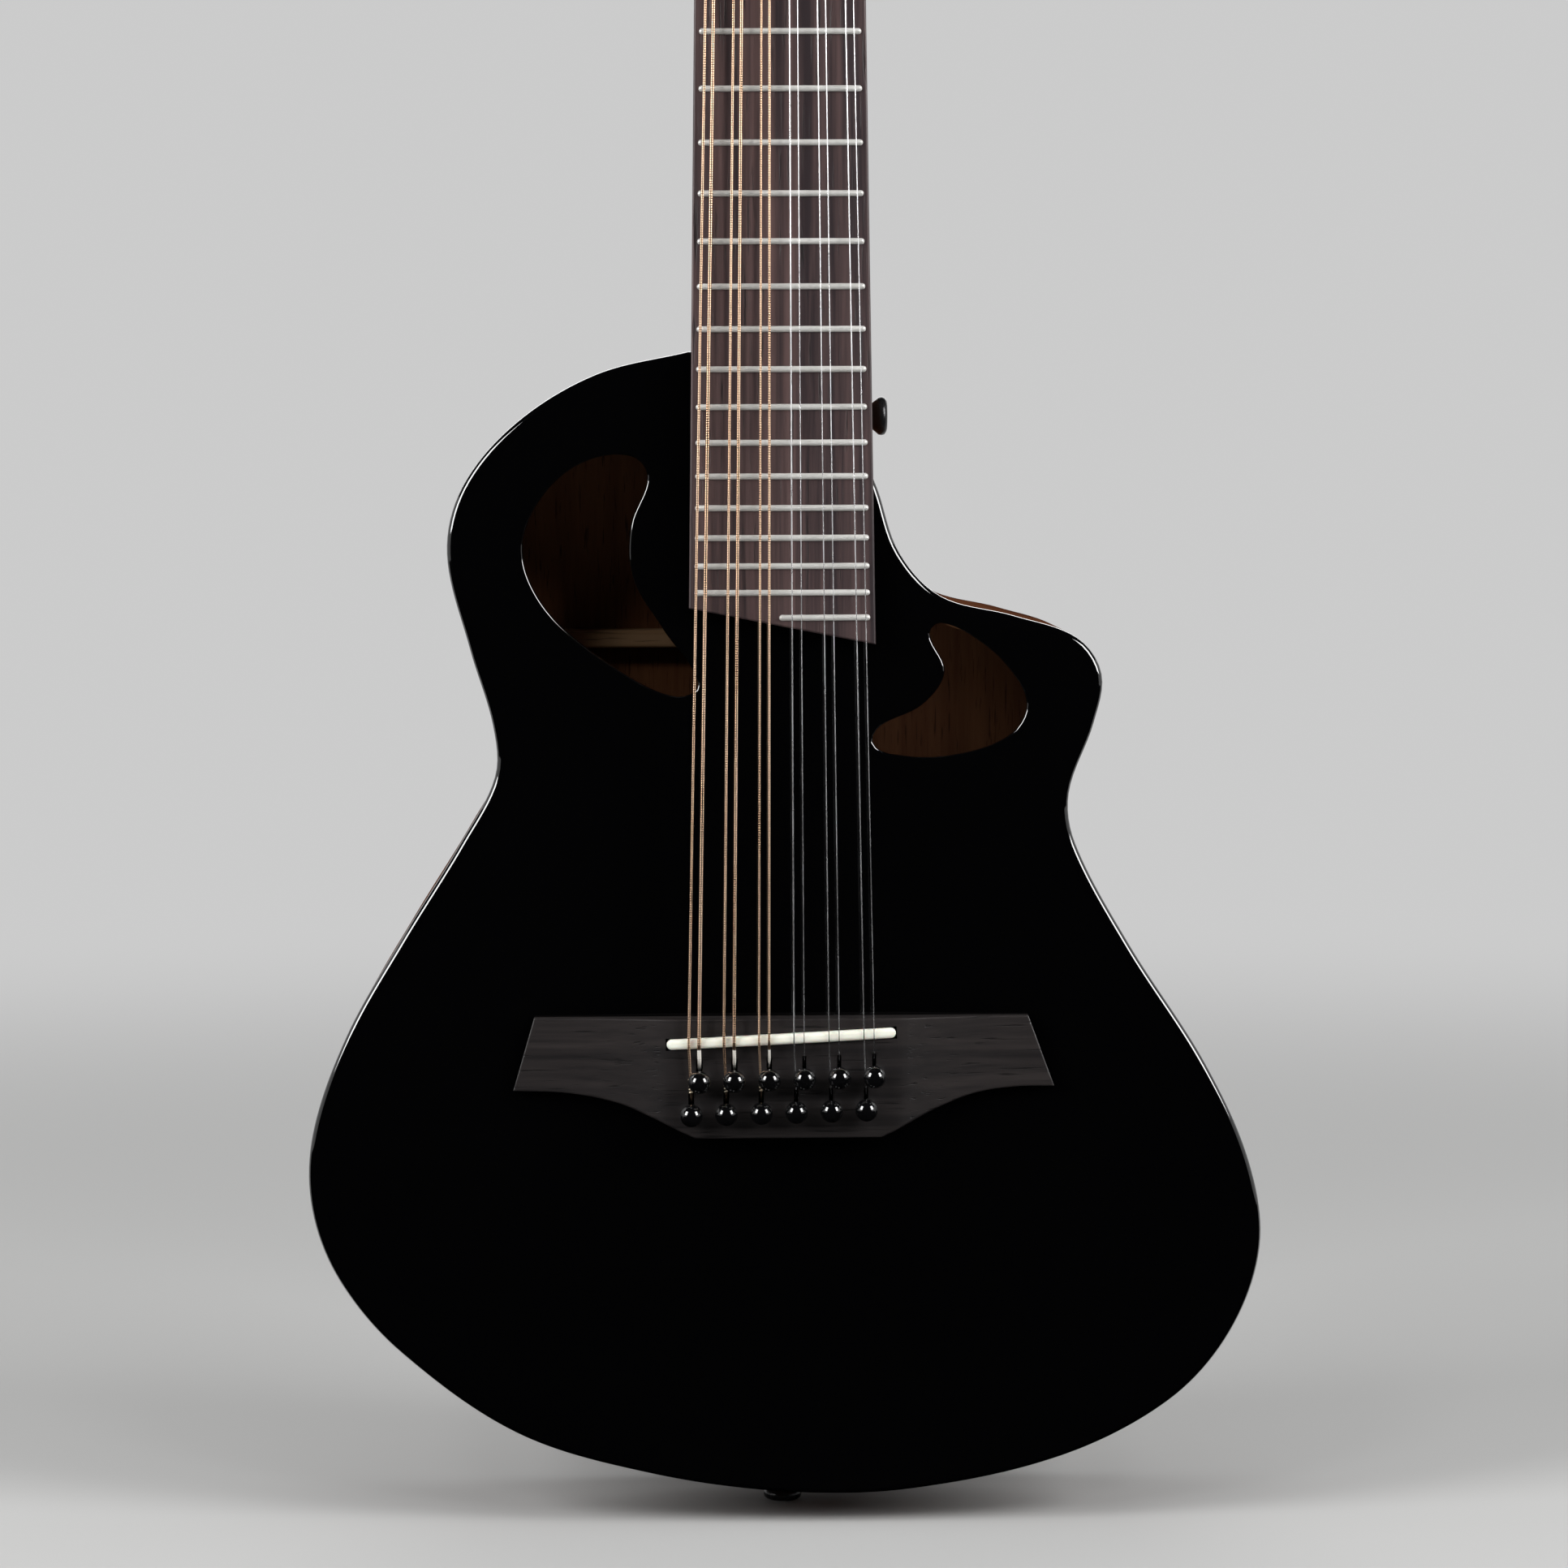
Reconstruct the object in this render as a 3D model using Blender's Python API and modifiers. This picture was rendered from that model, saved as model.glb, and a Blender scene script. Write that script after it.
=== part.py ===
# Twelve-string acoustic guitar with a cutaway, two offset sound holes and open-gear tuners.
# Metres. +Z runs up the neck, +X is the treble side and -Y the front.
# The origin is the centre of the flat end of the tail strap button, on the neck's centre line.

from math import atan2, cos, hypot, pi, radians, sin, sqrt

import bmesh
import bpy
from mathutils import Matrix, Vector

# Clearances
GAP = 0.0003                  # between fixed pieces that touch
RUNNING_GAP = 0.0003          # between a turning piece and its bearing
OVERSHOOT = 0.010             # of cutting shapes past the pieces that they cut

# Scale and strings
SCALE_LENGTH = 0.470
FRET_COUNT = 22
STRING_DIAMETERS = (0.0009, 0.0012, 0.00085, 0.00105, 0.0007, 0.0008,
                    0.00045, 0.0003, 0.00035, 0.00033, 0.0004, 0.0003)
SADDLE_COURSE_PITCH = 0.0110  # from one pair of strings to the next, over the saddle
SADDLE_PAIR_PITCH = 0.0032    # between the two strings of a pair, over the saddle
SADDLE_SHIFT = -0.0008        # of the middle of the strings from the centre line
NUT_COURSE_PITCH = 0.00758
NUT_PAIR_PITCH = 0.0022
NUT_ACTION = 0.0007           # strings above the fret crowns, at the nut
SADDLE_ACTION = 0.0040        # strings above the line of the fret crowns, at the saddle

# Body
SHOULDER_Z = 0.215            # where the neck meets the body, above the saddle line
CUTAWAY_WALL_X = 0.024        # straight side wall beside the neck, on the treble side
BODY_OUTLINE = (              # (x, z) from the saddle line, round from the bass side of the neck
    (-0.029, SHOULDER_Z), (-0.058, 0.208), (-0.083, 0.193), (-0.100, 0.173), (-0.105, 0.152),
    (-0.098, 0.122), (-0.091, 0.098), (-0.0905, 0.082), (-0.1015, 0.061), (-0.1205, 0.0305),
    (-0.138, 0.0), (-0.149, -0.031), (-0.1495, -0.055), (-0.141, -0.078), (-0.122, -0.101),
    (-0.085, -0.1275), (-0.043, -0.1407), (0.0, -0.147), (0.040, -0.1464), (0.088, -0.1362),
    (0.1225, -0.1185), (0.142, -0.0965), (0.1515, -0.069), (0.148, -0.042), (0.134, -0.0105),
    (0.1095, 0.028), (0.0925, 0.060), (0.0905, 0.076), (0.0983, 0.098), (0.1008, 0.1135),
    (0.093, 0.125), (0.073, 0.132), (0.050, 0.1382), (0.037, 0.152), (0.0302, 0.172),
    (0.026, 0.182), (CUTAWAY_WALL_X, 0.189), (CUTAWAY_WALL_X, SHOULDER_Z))
BASS_SOUND_HOLE = (
    (-0.042, 0.176), (-0.047, 0.1824), (-0.061, 0.181), (-0.073, 0.1723), (-0.0807, 0.158),
    (-0.0795, 0.1445), (-0.070, 0.130), (-0.0495, 0.1142), (-0.033, 0.107), (-0.0264, 0.111),
    (-0.0375, 0.1285), (-0.0468, 0.1445), (-0.0472, 0.161))
TREBLE_SOUND_HOLE = (
    (0.0465, 0.1265), (0.050, 0.1298), (0.0605, 0.1252), (0.0714, 0.1155), (0.077, 0.104),
    (0.071, 0.094), (0.052, 0.088), (0.0335, 0.0888), (0.0285, 0.0925), (0.031, 0.0975),
    (0.044, 0.104), (0.0512, 0.1145))
OUTLINE_STEP = 0.015          # between sampled points along the body's edge
HOLE_STEP = 0.0065            # the same around a sound hole
AXIS_TO_FRONT = 0.039         # from the tail button's axis forward to the soundboard's face
BODY_DEPTH = 0.081            # soundboard to back, at the crown of the back
BACK_RADIUS = 3.0             # of the arch of the back
BACK_CROWN_Z = 0.010          # height of its crown above the saddle line
BACK_GRID = (6, 8)            # facets of the arch across and up
TOP_THICKNESS = 0.0028
BACK_THICKNESS = 0.0028
SIDE_THICKNESS = 0.0024
LINING_WIDTH = 0.0055
LINING_HEIGHT = 0.013
NECK_BLOCK_LENGTH = 0.050
NECK_BLOCK_BASS_X = -0.034
NECK_BLOCK_TREBLE_X = 0.040
TAIL_BLOCK_LENGTH = 0.018
TAIL_BLOCK_HALF_WIDTH = 0.028
BRACE_WIDTH = 0.006
BRACE_HEIGHT = 0.011
BRACE_TOE = 0.003             # height that a brace tapers to at its ends
BRACE_RAMP = 0.17             # share of a brace's length that each taper takes
BRACE_TRIM = 0.0005           # step by which a brace's ends are drawn in from the linings
BRACE_SINK = 0.0004           # depth that a brace's foot enters its plate
BRIDGE_PLATE_THICKNESS = 0.0025
TOP_BRACES = (                # (x, z) of both ends of each bar under the soundboard
    ((-0.084, 0.0735), (0.082, 0.0735)), ((-0.038, 0.066), (0.114, -0.080)),
    ((0.038, 0.066), (-0.114, -0.080)), ((-0.078, -0.052), (0.040, -0.112)))
BACK_BRACES = (
    ((-0.091, 0.116), (0.088, 0.116)), ((-0.105, 0.030), (0.100, 0.030)),
    ((-0.136, -0.060), (0.138, -0.060)))

# Neck
NUT_WIDTH = 0.0494
LAST_FRET_WIDTH = 0.0584      # of the board at the last fret
BOARD_THICKNESS = 0.006
BOARD_RADIUS = 0.400          # of the curved playing surface
BOARD_FACETS = 3              # flats across that surface, and along each fret
BOARD_END_BASS_RISE = 0.0030  # of the board's slanted end above the last fret, at its bass edge
BOARD_END_TREBLE_FALL = 0.0085   # and below the last fret, at its treble edge
FRET_HEIGHT = 0.0010
FRET_RADIUS = 0.0011
FRET_INSET = 0.0016           # of each fret's end from the edge of the board
SHAFT_DEPTH_NUT = 0.0155      # wood under the board
SHAFT_DEPTH_HEEL = 0.0175
HEEL_SHORT = 0.009            # heel cap in front of the crown of the back
HEEL_CAP_HALF_WIDTH = 0.013
HEEL_RINGS = 6
SHAFT_RINGS = 2
NECK_ARC_STEPS = 8            # facets round the back of the neck
HEEL_LENGTH = 0.052
NUT_THICKNESS = 0.0045
NUT_PROUD = 0.0004            # nut above the undersides of the strings

# Headstock, in its own plane: u to the treble side, v up from the nut, w towards the front
HEAD_ANGLE = radians(14.0)
HEAD_STEP = 0.0006            # of the headstock's face behind the plane under the nut
HEAD_THICKNESS = 0.0145
HEAD_LENGTH = 0.176
HEAD_HALF_WIDTH = 0.0385
HEAD_FLARE_V = 0.024          # where the headstock reaches its full width
HEAD_FLARE = ((0.03, 0.17), (0.22, 0.42), (0.70, 0.75), (1.0, 1.0))   # width and height of its curve
HEAD_SINK = 0.0015            # of the headstock's foot into the neck
HEAD_CORNER = 0.003           # cut off the corners of its free end
HEAD_CROWN = 0.007            # rise of the headstock's end above its corners
HEAD_CROWN_STEPS = 4
POST_OFFSET_U = 0.0270        # of each row of posts from the centre line
FIRST_POST_V = 0.036
LAST_POST_INSET = 0.020       # of the last posts from the headstock's end

# Tuners
POST_RADIUS = 0.0030
POST_WAIST_RADIUS = 0.0027    # where the string is wound
POST_HEIGHT = 0.0110          # above the headstock's face
POST_WAIST_FOOT = 0.0010      # height at which the waist begins
POST_HOLE_HEIGHT = 0.0078
POST_HEAD_FOOT = 0.0010       # of the post's head above its hole's axis
POST_HOLE_RADIUS = 0.0009
POST_SIDES = 8
WINDING_TURNS = 1.5
WINDING_SPACE = 0.00045       # between neighbouring turns of a string
WINDING_STEPS = 8             # points in one turn
WHEEL_TEETH = 12
WHEEL_PITCH_RADIUS = 0.0040
WHEEL_THICKNESS = 0.0032
WHEEL_TIP = 0.0005            # tooth above the pitch circle
WHEEL_ROOT = 0.0007           # tooth space below it
TOOTH_TIP = 0.56              # width of a tooth at its tip, as a share of its width at the pitch circle
TOOTH_FOOT = 1.56             # the same at its root
WORM_PITCH_RADIUS = 0.0020
WORM_TIP = 0.0005
WORM_TURNS = 1.75
WORM_STEPS = 8                # points in one turn of the thread
THREAD_TIP = 0.5              # width of the thread at its tip, as a share of its width at the pitch
THREAD_FOOT = 1.6             # the same at its foot
THREAD_SINK = 0.85            # radius of the thread's foot, as a share of the shaft's
TOOTH_SPACE = 0.00024         # free play on each flank
SHAFT_RADIUS = 0.00125        # of the worm's journals
TUNER_PLATE_THICKNESS = 0.0012
TUNER_PLATE_INSIDE = 0.0075   # plate's reach from the posts towards the centre line
TUNER_PLATE_OUTSIDE = 0.0095  # and towards the headstock's edge
TUNER_PLATE_START = 0.0065    # plate's reach below the first worm
TUNER_PLATE_END = 0.0130      # and above the last post
EAR_THICKNESS = 0.0010
EAR_HALF_WIDTH = 0.0023
EAR_OFFSET = 0.0037           # of each ear's middle from its post
EAR_WALL = 0.0006             # ear behind its bore
EAR_BORE_SIDES = 6
COLLAR_RADIUS = 0.0019        # of the shaft outside its bearings
KNOB_START = 0.0125           # of the knob from its post
KNOB_LENGTH = 0.0155
KNOB_SHAPE = ((0.08, 0.42), (0.34, 0.94), (0.74, 0.94), (1.0, 0.42))   # width along the knob
KNOB_FLATNESS = 0.62          # share of its thickness that the knob keeps where it narrows
KNOB_SIDES = 8
KNOB_HALF_WIDTH = 0.0085
KNOB_HALF_THICKNESS = 0.0034

# Bridge, saddle and pins
BRIDGE_OUTLINE = (            # (x, z) from the saddle line, clockwise from the bass end's top corner
    (-0.0786, 0.0060), (0.0773, 0.0060), (0.0855, -0.0164), (0.0727, -0.0166), (0.0600, -0.0185),
    (0.0471, -0.0235), (0.0343, -0.0302), (0.0305, -0.0319), (-0.0280, -0.0319), (-0.0321, -0.0300),
    (-0.0423, -0.0250), (-0.0525, -0.0208), (-0.0678, -0.0178), (-0.0853, -0.0170))
BRIDGE_HEIGHT = 0.0080
BRIDGE_BLOCK_HALF = 0.0370    # half the length of the bridge's full-height middle
BRIDGE_TIP_HEIGHT = 0.0032
BRIDGE_SCOOP_POWER = 2.4      # how quickly the wings hollow down to their tips
BRIDGE_SCOOP_STEPS = 6
SADDLE_LENGTH = 0.0722
SADDLE_THICKNESS = 0.0033
SADDLE_BASS_Z = -0.0021       # the saddle's slanted centre line at its two ends
SADDLE_TREBLE_Z = 0.0014
SADDLE_SLOT_DEPTH = 0.0045
SADDLE_ROUNDING = 0.0008
CROWN_STEPS = 6               # facets along the tops of the saddle and the nut
UPPER_PIN_Z = -0.0128
LOWER_PIN_Z = -0.0232
UPPER_PIN_SHIFT = 0.0017      # of a pin from the middle of its pair at the saddle
LOWER_PIN_SHIFT = -0.0009
PIN_ROW_SLOPE = 0.025
PIN_RADIUS = 0.0023
PIN_END_RADIUS = 0.00145
PIN_NECK_RADIUS = 0.0017
PIN_BALL_RADIUS = 0.0036
PIN_BALL_HEIGHT = 0.0046      # of the ball's centre above the bridge
PIN_TAIL = 0.0030             # length of the pin's point below the bridge plate
PIN_SIDES = 8
PIN_TO_STRING = 0.0033        # from a pin's axis to its string in the notch
NOTCH_REACH = 0.0068          # of the notch's mouth from the pin's axis
NOTCH_DEPTH = 0.0035
BALL_END_RADIUS = 0.0015
BALL_END_LENGTH = 0.0034
BEND_DEPTH = 0.0022           # below the bridge's top, where a string turns out of its notch
CREST_HALF = 0.0006           # half the length of string that lies flat on the saddle
CUT_BELOW = 0.0020            # of the pin holes and notches past the bridge plate

# Strap buttons
BUTTON_HEIGHT = 0.0105
BUTTON_RADIUS = 0.0062
BUTTON_SEAT_RADIUS = 0.0052
BUTTON_WAIST_RADIUS = 0.0034
BUTTON_FACE_RADIUS = 0.0045
BUTTON_SIDES = 12
HEEL_BUTTON_Z = 0.195         # above the saddle line

COURSES = len(STRING_DIAMETERS) // 2
MODEL = "twelve_string_guitar"
CUTTERS = "cutters"
SMOOTH_ANGLE = radians(35)    # edges bent more than this stay sharp

FRONT_Y = -AXIS_TO_FRONT
BOARD_TOP_Y = FRONT_Y - BOARD_THICKNESS
CROWN_Y = BOARD_TOP_Y - FRET_HEIGHT
TOP_BACK_Y = FRONT_Y + TOP_THICKNESS
PLATE_BACK_Y = TOP_BACK_Y + BRIDGE_PLATE_THICKNESS
HEEL_DEPTH = BODY_DEPTH - HEEL_SHORT
LAST_FRET_RUN = SCALE_LENGTH * (1 - 2 ** (-FRET_COUNT / 12))
BOARD_END_SLOPE = -(BOARD_END_BASS_RISE + BOARD_END_TREBLE_FALL) / LAST_FRET_WIDTH
POST_PITCH = (HEAD_LENGTH - LAST_POST_INSET - FIRST_POST_V) / (COURSES - 1)
BRIDGE_FOOT_Y = FRONT_Y - GAP
BRIDGE_TOP_Y = BRIDGE_FOOT_Y - BRIDGE_HEIGHT
CENTRE_DISTANCE = WHEEL_PITCH_RADIUS + WORM_PITCH_RADIUS
WORM_LEAD = 2 * pi * WHEEL_PITCH_RADIUS / WHEEL_TEETH
WORM_TIP_RADIUS = WORM_PITCH_RADIUS + WORM_TIP
PLATE_BACK_W = -HEAD_THICKNESS - GAP - TUNER_PLATE_THICKNESS
WORM_W = PLATE_BACK_W - RUNNING_GAP - WORM_TIP_RADIUS


# Scene and materials

def clear_scene():
    for obj in list(bpy.data.objects):
        bpy.data.objects.remove(obj)


def collection(name):
    found = bpy.data.collections.get(name)
    if found is None:
        found = bpy.data.collections.new(name)
        bpy.context.scene.collection.children.link(found)
    return found


def material(name, color, roughness, metallic=0.0):
    found = bpy.data.materials.get(name)
    if found is None:
        found = bpy.data.materials.new(name)
        found.use_nodes = True
        shader = found.node_tree.nodes["Principled BSDF"]
        shader.inputs["Base Color"].default_value = (*color, 1.0)
        shader.inputs["Roughness"].default_value = roughness
        shader.inputs["Metallic"].default_value = metallic
    return found


def black_lacquer():
    return material("black_lacquer", (0.012, 0.012, 0.014), 0.12)


def mahogany():
    return material("mahogany", (0.16, 0.055, 0.025), 0.30)


def rosewood():
    return material("rosewood", (0.055, 0.028, 0.024), 0.45)


def dark_bridge_wood():
    return material("dark_bridge_wood", (0.030, 0.020, 0.018), 0.50)


def bone():
    return material("bone", (0.80, 0.76, 0.66), 0.40)


def gloss_black_plastic():
    return material("gloss_black_plastic", (0.010, 0.010, 0.010), 0.15)


def black_metal():
    return material("black_metal", (0.020, 0.020, 0.022), 0.30, 0.6)


def chrome():
    return material("chrome", (0.72, 0.72, 0.73), 0.15, 1.0)


def steel_string():
    return material("steel_string", (0.62, 0.61, 0.59), 0.25, 1.0)


def bronze_string():
    return material("bronze_string", (0.62, 0.36, 0.18), 0.35, 1.0)


# Making solids

def keep(obj, finish):
    """Put a finished piece in the guitar's collection with its material."""
    collection(MODEL).objects.link(obj)
    obj.data.materials.clear()
    obj.data.materials.append(finish)
    return obj


def tool(obj):
    """Put an operand of a Boolean in the cutters' collection, hidden from renders."""
    collection(CUTTERS).objects.link(obj)
    obj.hide_render = True
    obj.display_type = "WIRE"
    return obj


def combine(target, operand, operation):
    modifier = target.modifiers.new(operand.name, "BOOLEAN")
    modifier.operation = operation
    modifier.object = operand
    modifier.solver = "EXACT"
    return target


def mesh_object(name, bm, matrix=None, rounded=False):
    bmesh.ops.recalc_face_normals(bm, faces=bm.faces)
    if rounded:
        for face in bm.faces:
            face.smooth = True
        for edge in bm.edges:
            edge.smooth = edge.calc_face_angle(0.0) < SMOOTH_ANGLE
    mesh = bpy.data.meshes.new(name)
    bm.to_mesh(mesh)
    bm.free()
    obj = bpy.data.objects.new(name, mesh)
    if matrix is not None:
        obj.matrix_world = matrix
    return obj


def meshed(curve_object, rounded=False):
    """Turn a curve object into a welded mesh object that stands in the same place."""
    bpy.context.scene.collection.objects.link(curve_object)
    graph = bpy.context.evaluated_depsgraph_get()
    mesh = bpy.data.meshes.new_from_object(curve_object.evaluated_get(graph))
    bm = bmesh.new()
    bm.from_mesh(mesh)
    bpy.data.meshes.remove(mesh)
    bmesh.ops.remove_doubles(bm, verts=bm.verts, dist=1e-6)
    name, matrix = curve_object.name, curve_object.matrix_world.copy()
    bpy.data.objects.remove(curve_object)
    return mesh_object(name, bm, matrix, rounded)


def slab(name, loops, near, far, matrix=None):
    """Extrude flat closed outlines from local z = near to far. Later loops are holes."""
    curve = bpy.data.curves.new(name, "CURVE")
    curve.dimensions = "2D"
    curve.fill_mode = "BOTH"
    curve.extrude = abs(far - near) / 2
    for loop in loops:
        spline = curve.splines.new("POLY")
        spline.points.add(len(loop) - 1)
        for point, (x, y) in zip(spline.points, loop):
            point.co = (x, y, 0.0, 1.0)
        spline.use_cyclic_u = True
    obj = bpy.data.objects.new(name, curve)
    middle = Matrix.Translation((0.0, 0.0, (near + far) / 2))
    obj.matrix_world = (matrix or Matrix()) @ middle
    return meshed(obj)


def facing_front(y=0.0):
    """Local x, y, z become world x, z, -y, so that an outline stands in the soundboard's plane."""
    return Matrix.Translation((0.0, y, 0.0)) @ Matrix.Rotation(pi / 2, 4, "X")


def front_slab(name, loops, front_y, back_y):
    return slab(name, loops, -back_y, -front_y, facing_front())


def tube(name, points, radius, resolution=1, scales=None):
    """Round bar along points, closed at both ends. scales swells it point by point."""
    curve = bpy.data.curves.new(name, "CURVE")
    curve.dimensions = "3D"
    curve.bevel_depth = radius
    curve.bevel_resolution = resolution
    curve.use_fill_caps = True
    spline = curve.splines.new("POLY")
    spline.points.add(len(points) - 1)
    for index, point in enumerate(points):
        spline.points[index].co = (*point, 1.0)
        spline.points[index].radius = scales[index] if scales else 1.0
    return bpy.data.objects.new(name, curve)


def turned(name, profile, sides, matrix):
    """Turn a profile of (radius, height), top to bottom, about the local z axis."""
    mesh = bpy.data.meshes.new(name)
    vertices = [(radius, 0.0, height) for radius, height in profile]
    mesh.from_pydata(vertices, [(i, i + 1) for i in range(len(vertices) - 1)], [])
    obj = bpy.data.objects.new(name, mesh)
    obj.matrix_world = matrix
    screw = obj.modifiers.new("turn", "SCREW")
    screw.steps = screw.render_steps = sides
    screw.use_merge_vertices = True
    screw.merge_threshold = 0.00001
    screw.use_smooth_shade = True
    return obj


def loft(name, rings, matrix=None):
    """Join rings that have equally many points into one closed solid with flat ends."""
    bm = bmesh.new()
    rows = [[bm.verts.new(point) for point in ring] for ring in rings]
    count = len(rows[0])
    for near, far in zip(rows, rows[1:]):
        for i in range(count):
            j = (i + 1) % count
            bm.faces.new((near[i], near[j], far[j], far[i]))
    bm.faces.new(rows[0])
    bm.faces.new(rows[-1])
    return mesh_object(name, bm, matrix, rounded=True)


def boxes(name, centres_and_sizes, matrix=None):
    """Several separate boxes in one object, each given by its centre and size."""
    bm = bmesh.new()
    for centre, size in centres_and_sizes:
        place = Matrix.LocRotScale(Vector(centre), None, Vector(size))
        bmesh.ops.create_cube(bm, size=1.0, matrix=place)
    return mesh_object(name, bm, matrix)


def cones(name, items, sides, matrix=None):
    """Several separate cones in one object: (place, radius low, radius high, length)."""
    bm = bmesh.new()
    for place, low, high, length in items:
        bmesh.ops.create_cone(bm, cap_ends=True, segments=sides, radius1=low, radius2=high,
                              depth=length, matrix=place)
    return mesh_object(name, bm, matrix)


def soften(obj, width):
    """Chamfer the object's square edges."""
    bevel = obj.modifiers.new("edges", "BEVEL")
    bevel.width = width
    bevel.segments = 1
    bevel.limit_method = "ANGLE"
    bevel.angle_limit = radians(60)


def frozen(obj):
    """The object's mesh with its modifiers applied, for copies that share it."""
    bpy.context.scene.collection.objects.link(obj)
    graph = bpy.context.evaluated_depsgraph_get()
    mesh = bpy.data.meshes.new_from_object(obj.evaluated_get(graph))
    mesh.shade_smooth()
    mesh.set_sharp_from_angle(angle=SMOOTH_ANGLE)
    operands = [modifier.object for modifier in obj.modifiers if modifier.type == "BOOLEAN"]
    for used in (obj, *operands):
        bpy.data.objects.remove(used)
    return mesh


def hole_radius(radius, sides):
    """Corner radius of a hole with flat sides that clears a round piece as it turns."""
    return (radius + RUNNING_GAP) / cos(pi / sides)


# Outlines

def smooth(points, step, closed=False):
    """Sample a curve through the points, with chords of about one step."""
    knots = [Vector(point) for point in points]
    last = len(knots) - 1

    def direction(i):
        if closed:
            return (knots[(i + 1) % len(knots)] - knots[i - 1]).normalized()
        return (knots[min(i + 1, last)] - knots[max(i - 1, 0)]).normalized()

    samples = []
    for i in range(len(knots) if closed else last):
        start, end = knots[i], knots[(i + 1) % len(knots)]
        reach = (end - start).length
        leave, arrive = direction(i) * reach, direction((i + 1) % len(knots)) * reach
        count = max(1, round(reach / step))
        for k in range(count):
            s = k / count
            samples.append((2 * s**3 - 3 * s**2 + 1) * start + (s**3 - 2 * s**2 + s) * leave
                           + (3 * s**2 - 2 * s**3) * end + (s**3 - s**2) * arrive)
    if not closed:
        samples.append(knots[-1])
    return [(p.x, p.y) for p in samples]


def inset(points, distance):
    """Move a closed outline inwards by an even distance, with mitred corners."""
    area = sum(a[0] * b[1] - b[0] * a[1] for a, b in zip(points, points[1:] + points[:1]))
    side = 1.0 if area > 0 else -1.0
    moved = []
    for before, here, after in zip(points[-1:] + points[:-1], points, points[1:] + points[:1]):
        normals = []
        for a, b in ((before, here), (here, after)):
            run = hypot(b[0] - a[0], b[1] - a[1])
            normals.append(Vector((-(b[1] - a[1]) / run, (b[0] - a[0]) / run)) * side)
        both = normals[0] + normals[1]
        step = both * (distance / (1 + normals[0].dot(normals[1])))
        moved.append((here[0] + step.x, here[1] + step.y))
    return moved


def saddle_line_z():
    """Height of the saddle line, from the body's lower edge on the centre line."""
    samples = smooth(BODY_OUTLINE, OUTLINE_STEP)
    for (x0, z0), (x1, z1) in zip(samples, samples[1:]):
        if z0 < 0 and x0 <= 0.0 < x1:
            return BUTTON_HEIGHT + GAP - (z0 - x0 * (z1 - z0) / (x1 - x0))
    raise ValueError("the body's outline does not cross the centre line")


SADDLE_Z = saddle_line_z()
NUT_Z = SADDLE_Z + SCALE_LENGTH


def raised(points):
    """Outline points given from the saddle line, in world height."""
    return [(x, z + SADDLE_Z) for x, z in points]


def body_outline():
    return raised(smooth(BODY_OUTLINE, OUTLINE_STEP))


def back_y(x, z):
    """Outer surface of the arched back."""
    rise = (x**2 + (z - SADDLE_Z - BACK_CROWN_Z)**2) / (2 * BACK_RADIUS)
    return FRONT_Y + BODY_DEPTH - rise


def board_half_width(z):
    """Half the fretboard's width at a height, by its straight taper."""
    widening = (LAST_FRET_WIDTH - NUT_WIDTH) / 2 / LAST_FRET_RUN
    return NUT_WIDTH / 2 + widening * (NUT_Z - z)


def board_drop(x):
    """How far a surface with the board's curve lies behind its middle."""
    return x**2 / (2 * BOARD_RADIUS)


# Strings, seen from above and from the side

def course_x(index, pitch, pair_pitch, shift):
    course, half = divmod(index, 2)
    middle = (course - (COURSES - 1) / 2) * pitch + shift
    return middle + (half - 0.5) * pair_pitch


def saddle_x(index):
    return course_x(index, SADDLE_COURSE_PITCH, SADDLE_PAIR_PITCH, SADDLE_SHIFT)


def nut_x(index):
    return course_x(index, NUT_COURSE_PITCH, NUT_PAIR_PITCH, 0.0)


def saddle_centre_z(x):
    slope = (SADDLE_TREBLE_Z - SADDLE_BASS_Z) / SADDLE_LENGTH
    return SADDLE_Z + (SADDLE_BASS_Z + SADDLE_TREBLE_Z) / 2 + slope * (x - SADDLE_SHIFT)


def string_foot_at_saddle(x):
    """Front surface that a string's underside follows over the saddle."""
    return CROWN_Y + board_drop(x) - SADDLE_ACTION


def string_foot_at_nut(x):
    return CROWN_Y + board_drop(x) - NUT_ACTION


def pin_place(index):
    """x and z of a string's bridge pin. The first string of a pair has the lower pin."""
    course, half = divmod(index, 2)
    middle = (course - (COURSES - 1) / 2) * SADDLE_COURSE_PITCH + SADDLE_SHIFT
    x = middle + (UPPER_PIN_SHIFT if half else LOWER_PIN_SHIFT)
    row = UPPER_PIN_Z if half else LOWER_PIN_Z
    return x, SADDLE_Z + row + PIN_ROW_SLOPE * x


# Body pieces

def inside(point, fence):
    """Whether a point lies inside a closed outline."""
    x, z = point
    crossed = False
    for (x0, z0), (x1, z1) in zip(fence, fence[1:] + fence[:1]):
        if (z0 > z) != (z1 > z) and x < x0 + (z - z0) * (x1 - x0) / (z1 - z0):
            crossed = not crossed
    return crossed


def trimmed(ends):
    """A bar's two ends, drawn in until the whole bar lies clear of the linings."""
    fence = inset(body_outline(), SIDE_THICKNESS + LINING_WIDTH + GAP)
    first, last = (Vector((x, SADDLE_Z + z)) for x, z in ends)
    along = (last - first).normalized()
    across = along.orthogonal() * (BRACE_WIDTH / 2)
    drawn = []
    for end, step in ((first, along), (last, -along)):
        while not all(inside(corner, fence) for corner in (end + across, end - across)):
            end = end + step * BRACE_TRIM
        drawn.append(end)
    return drawn


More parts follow.
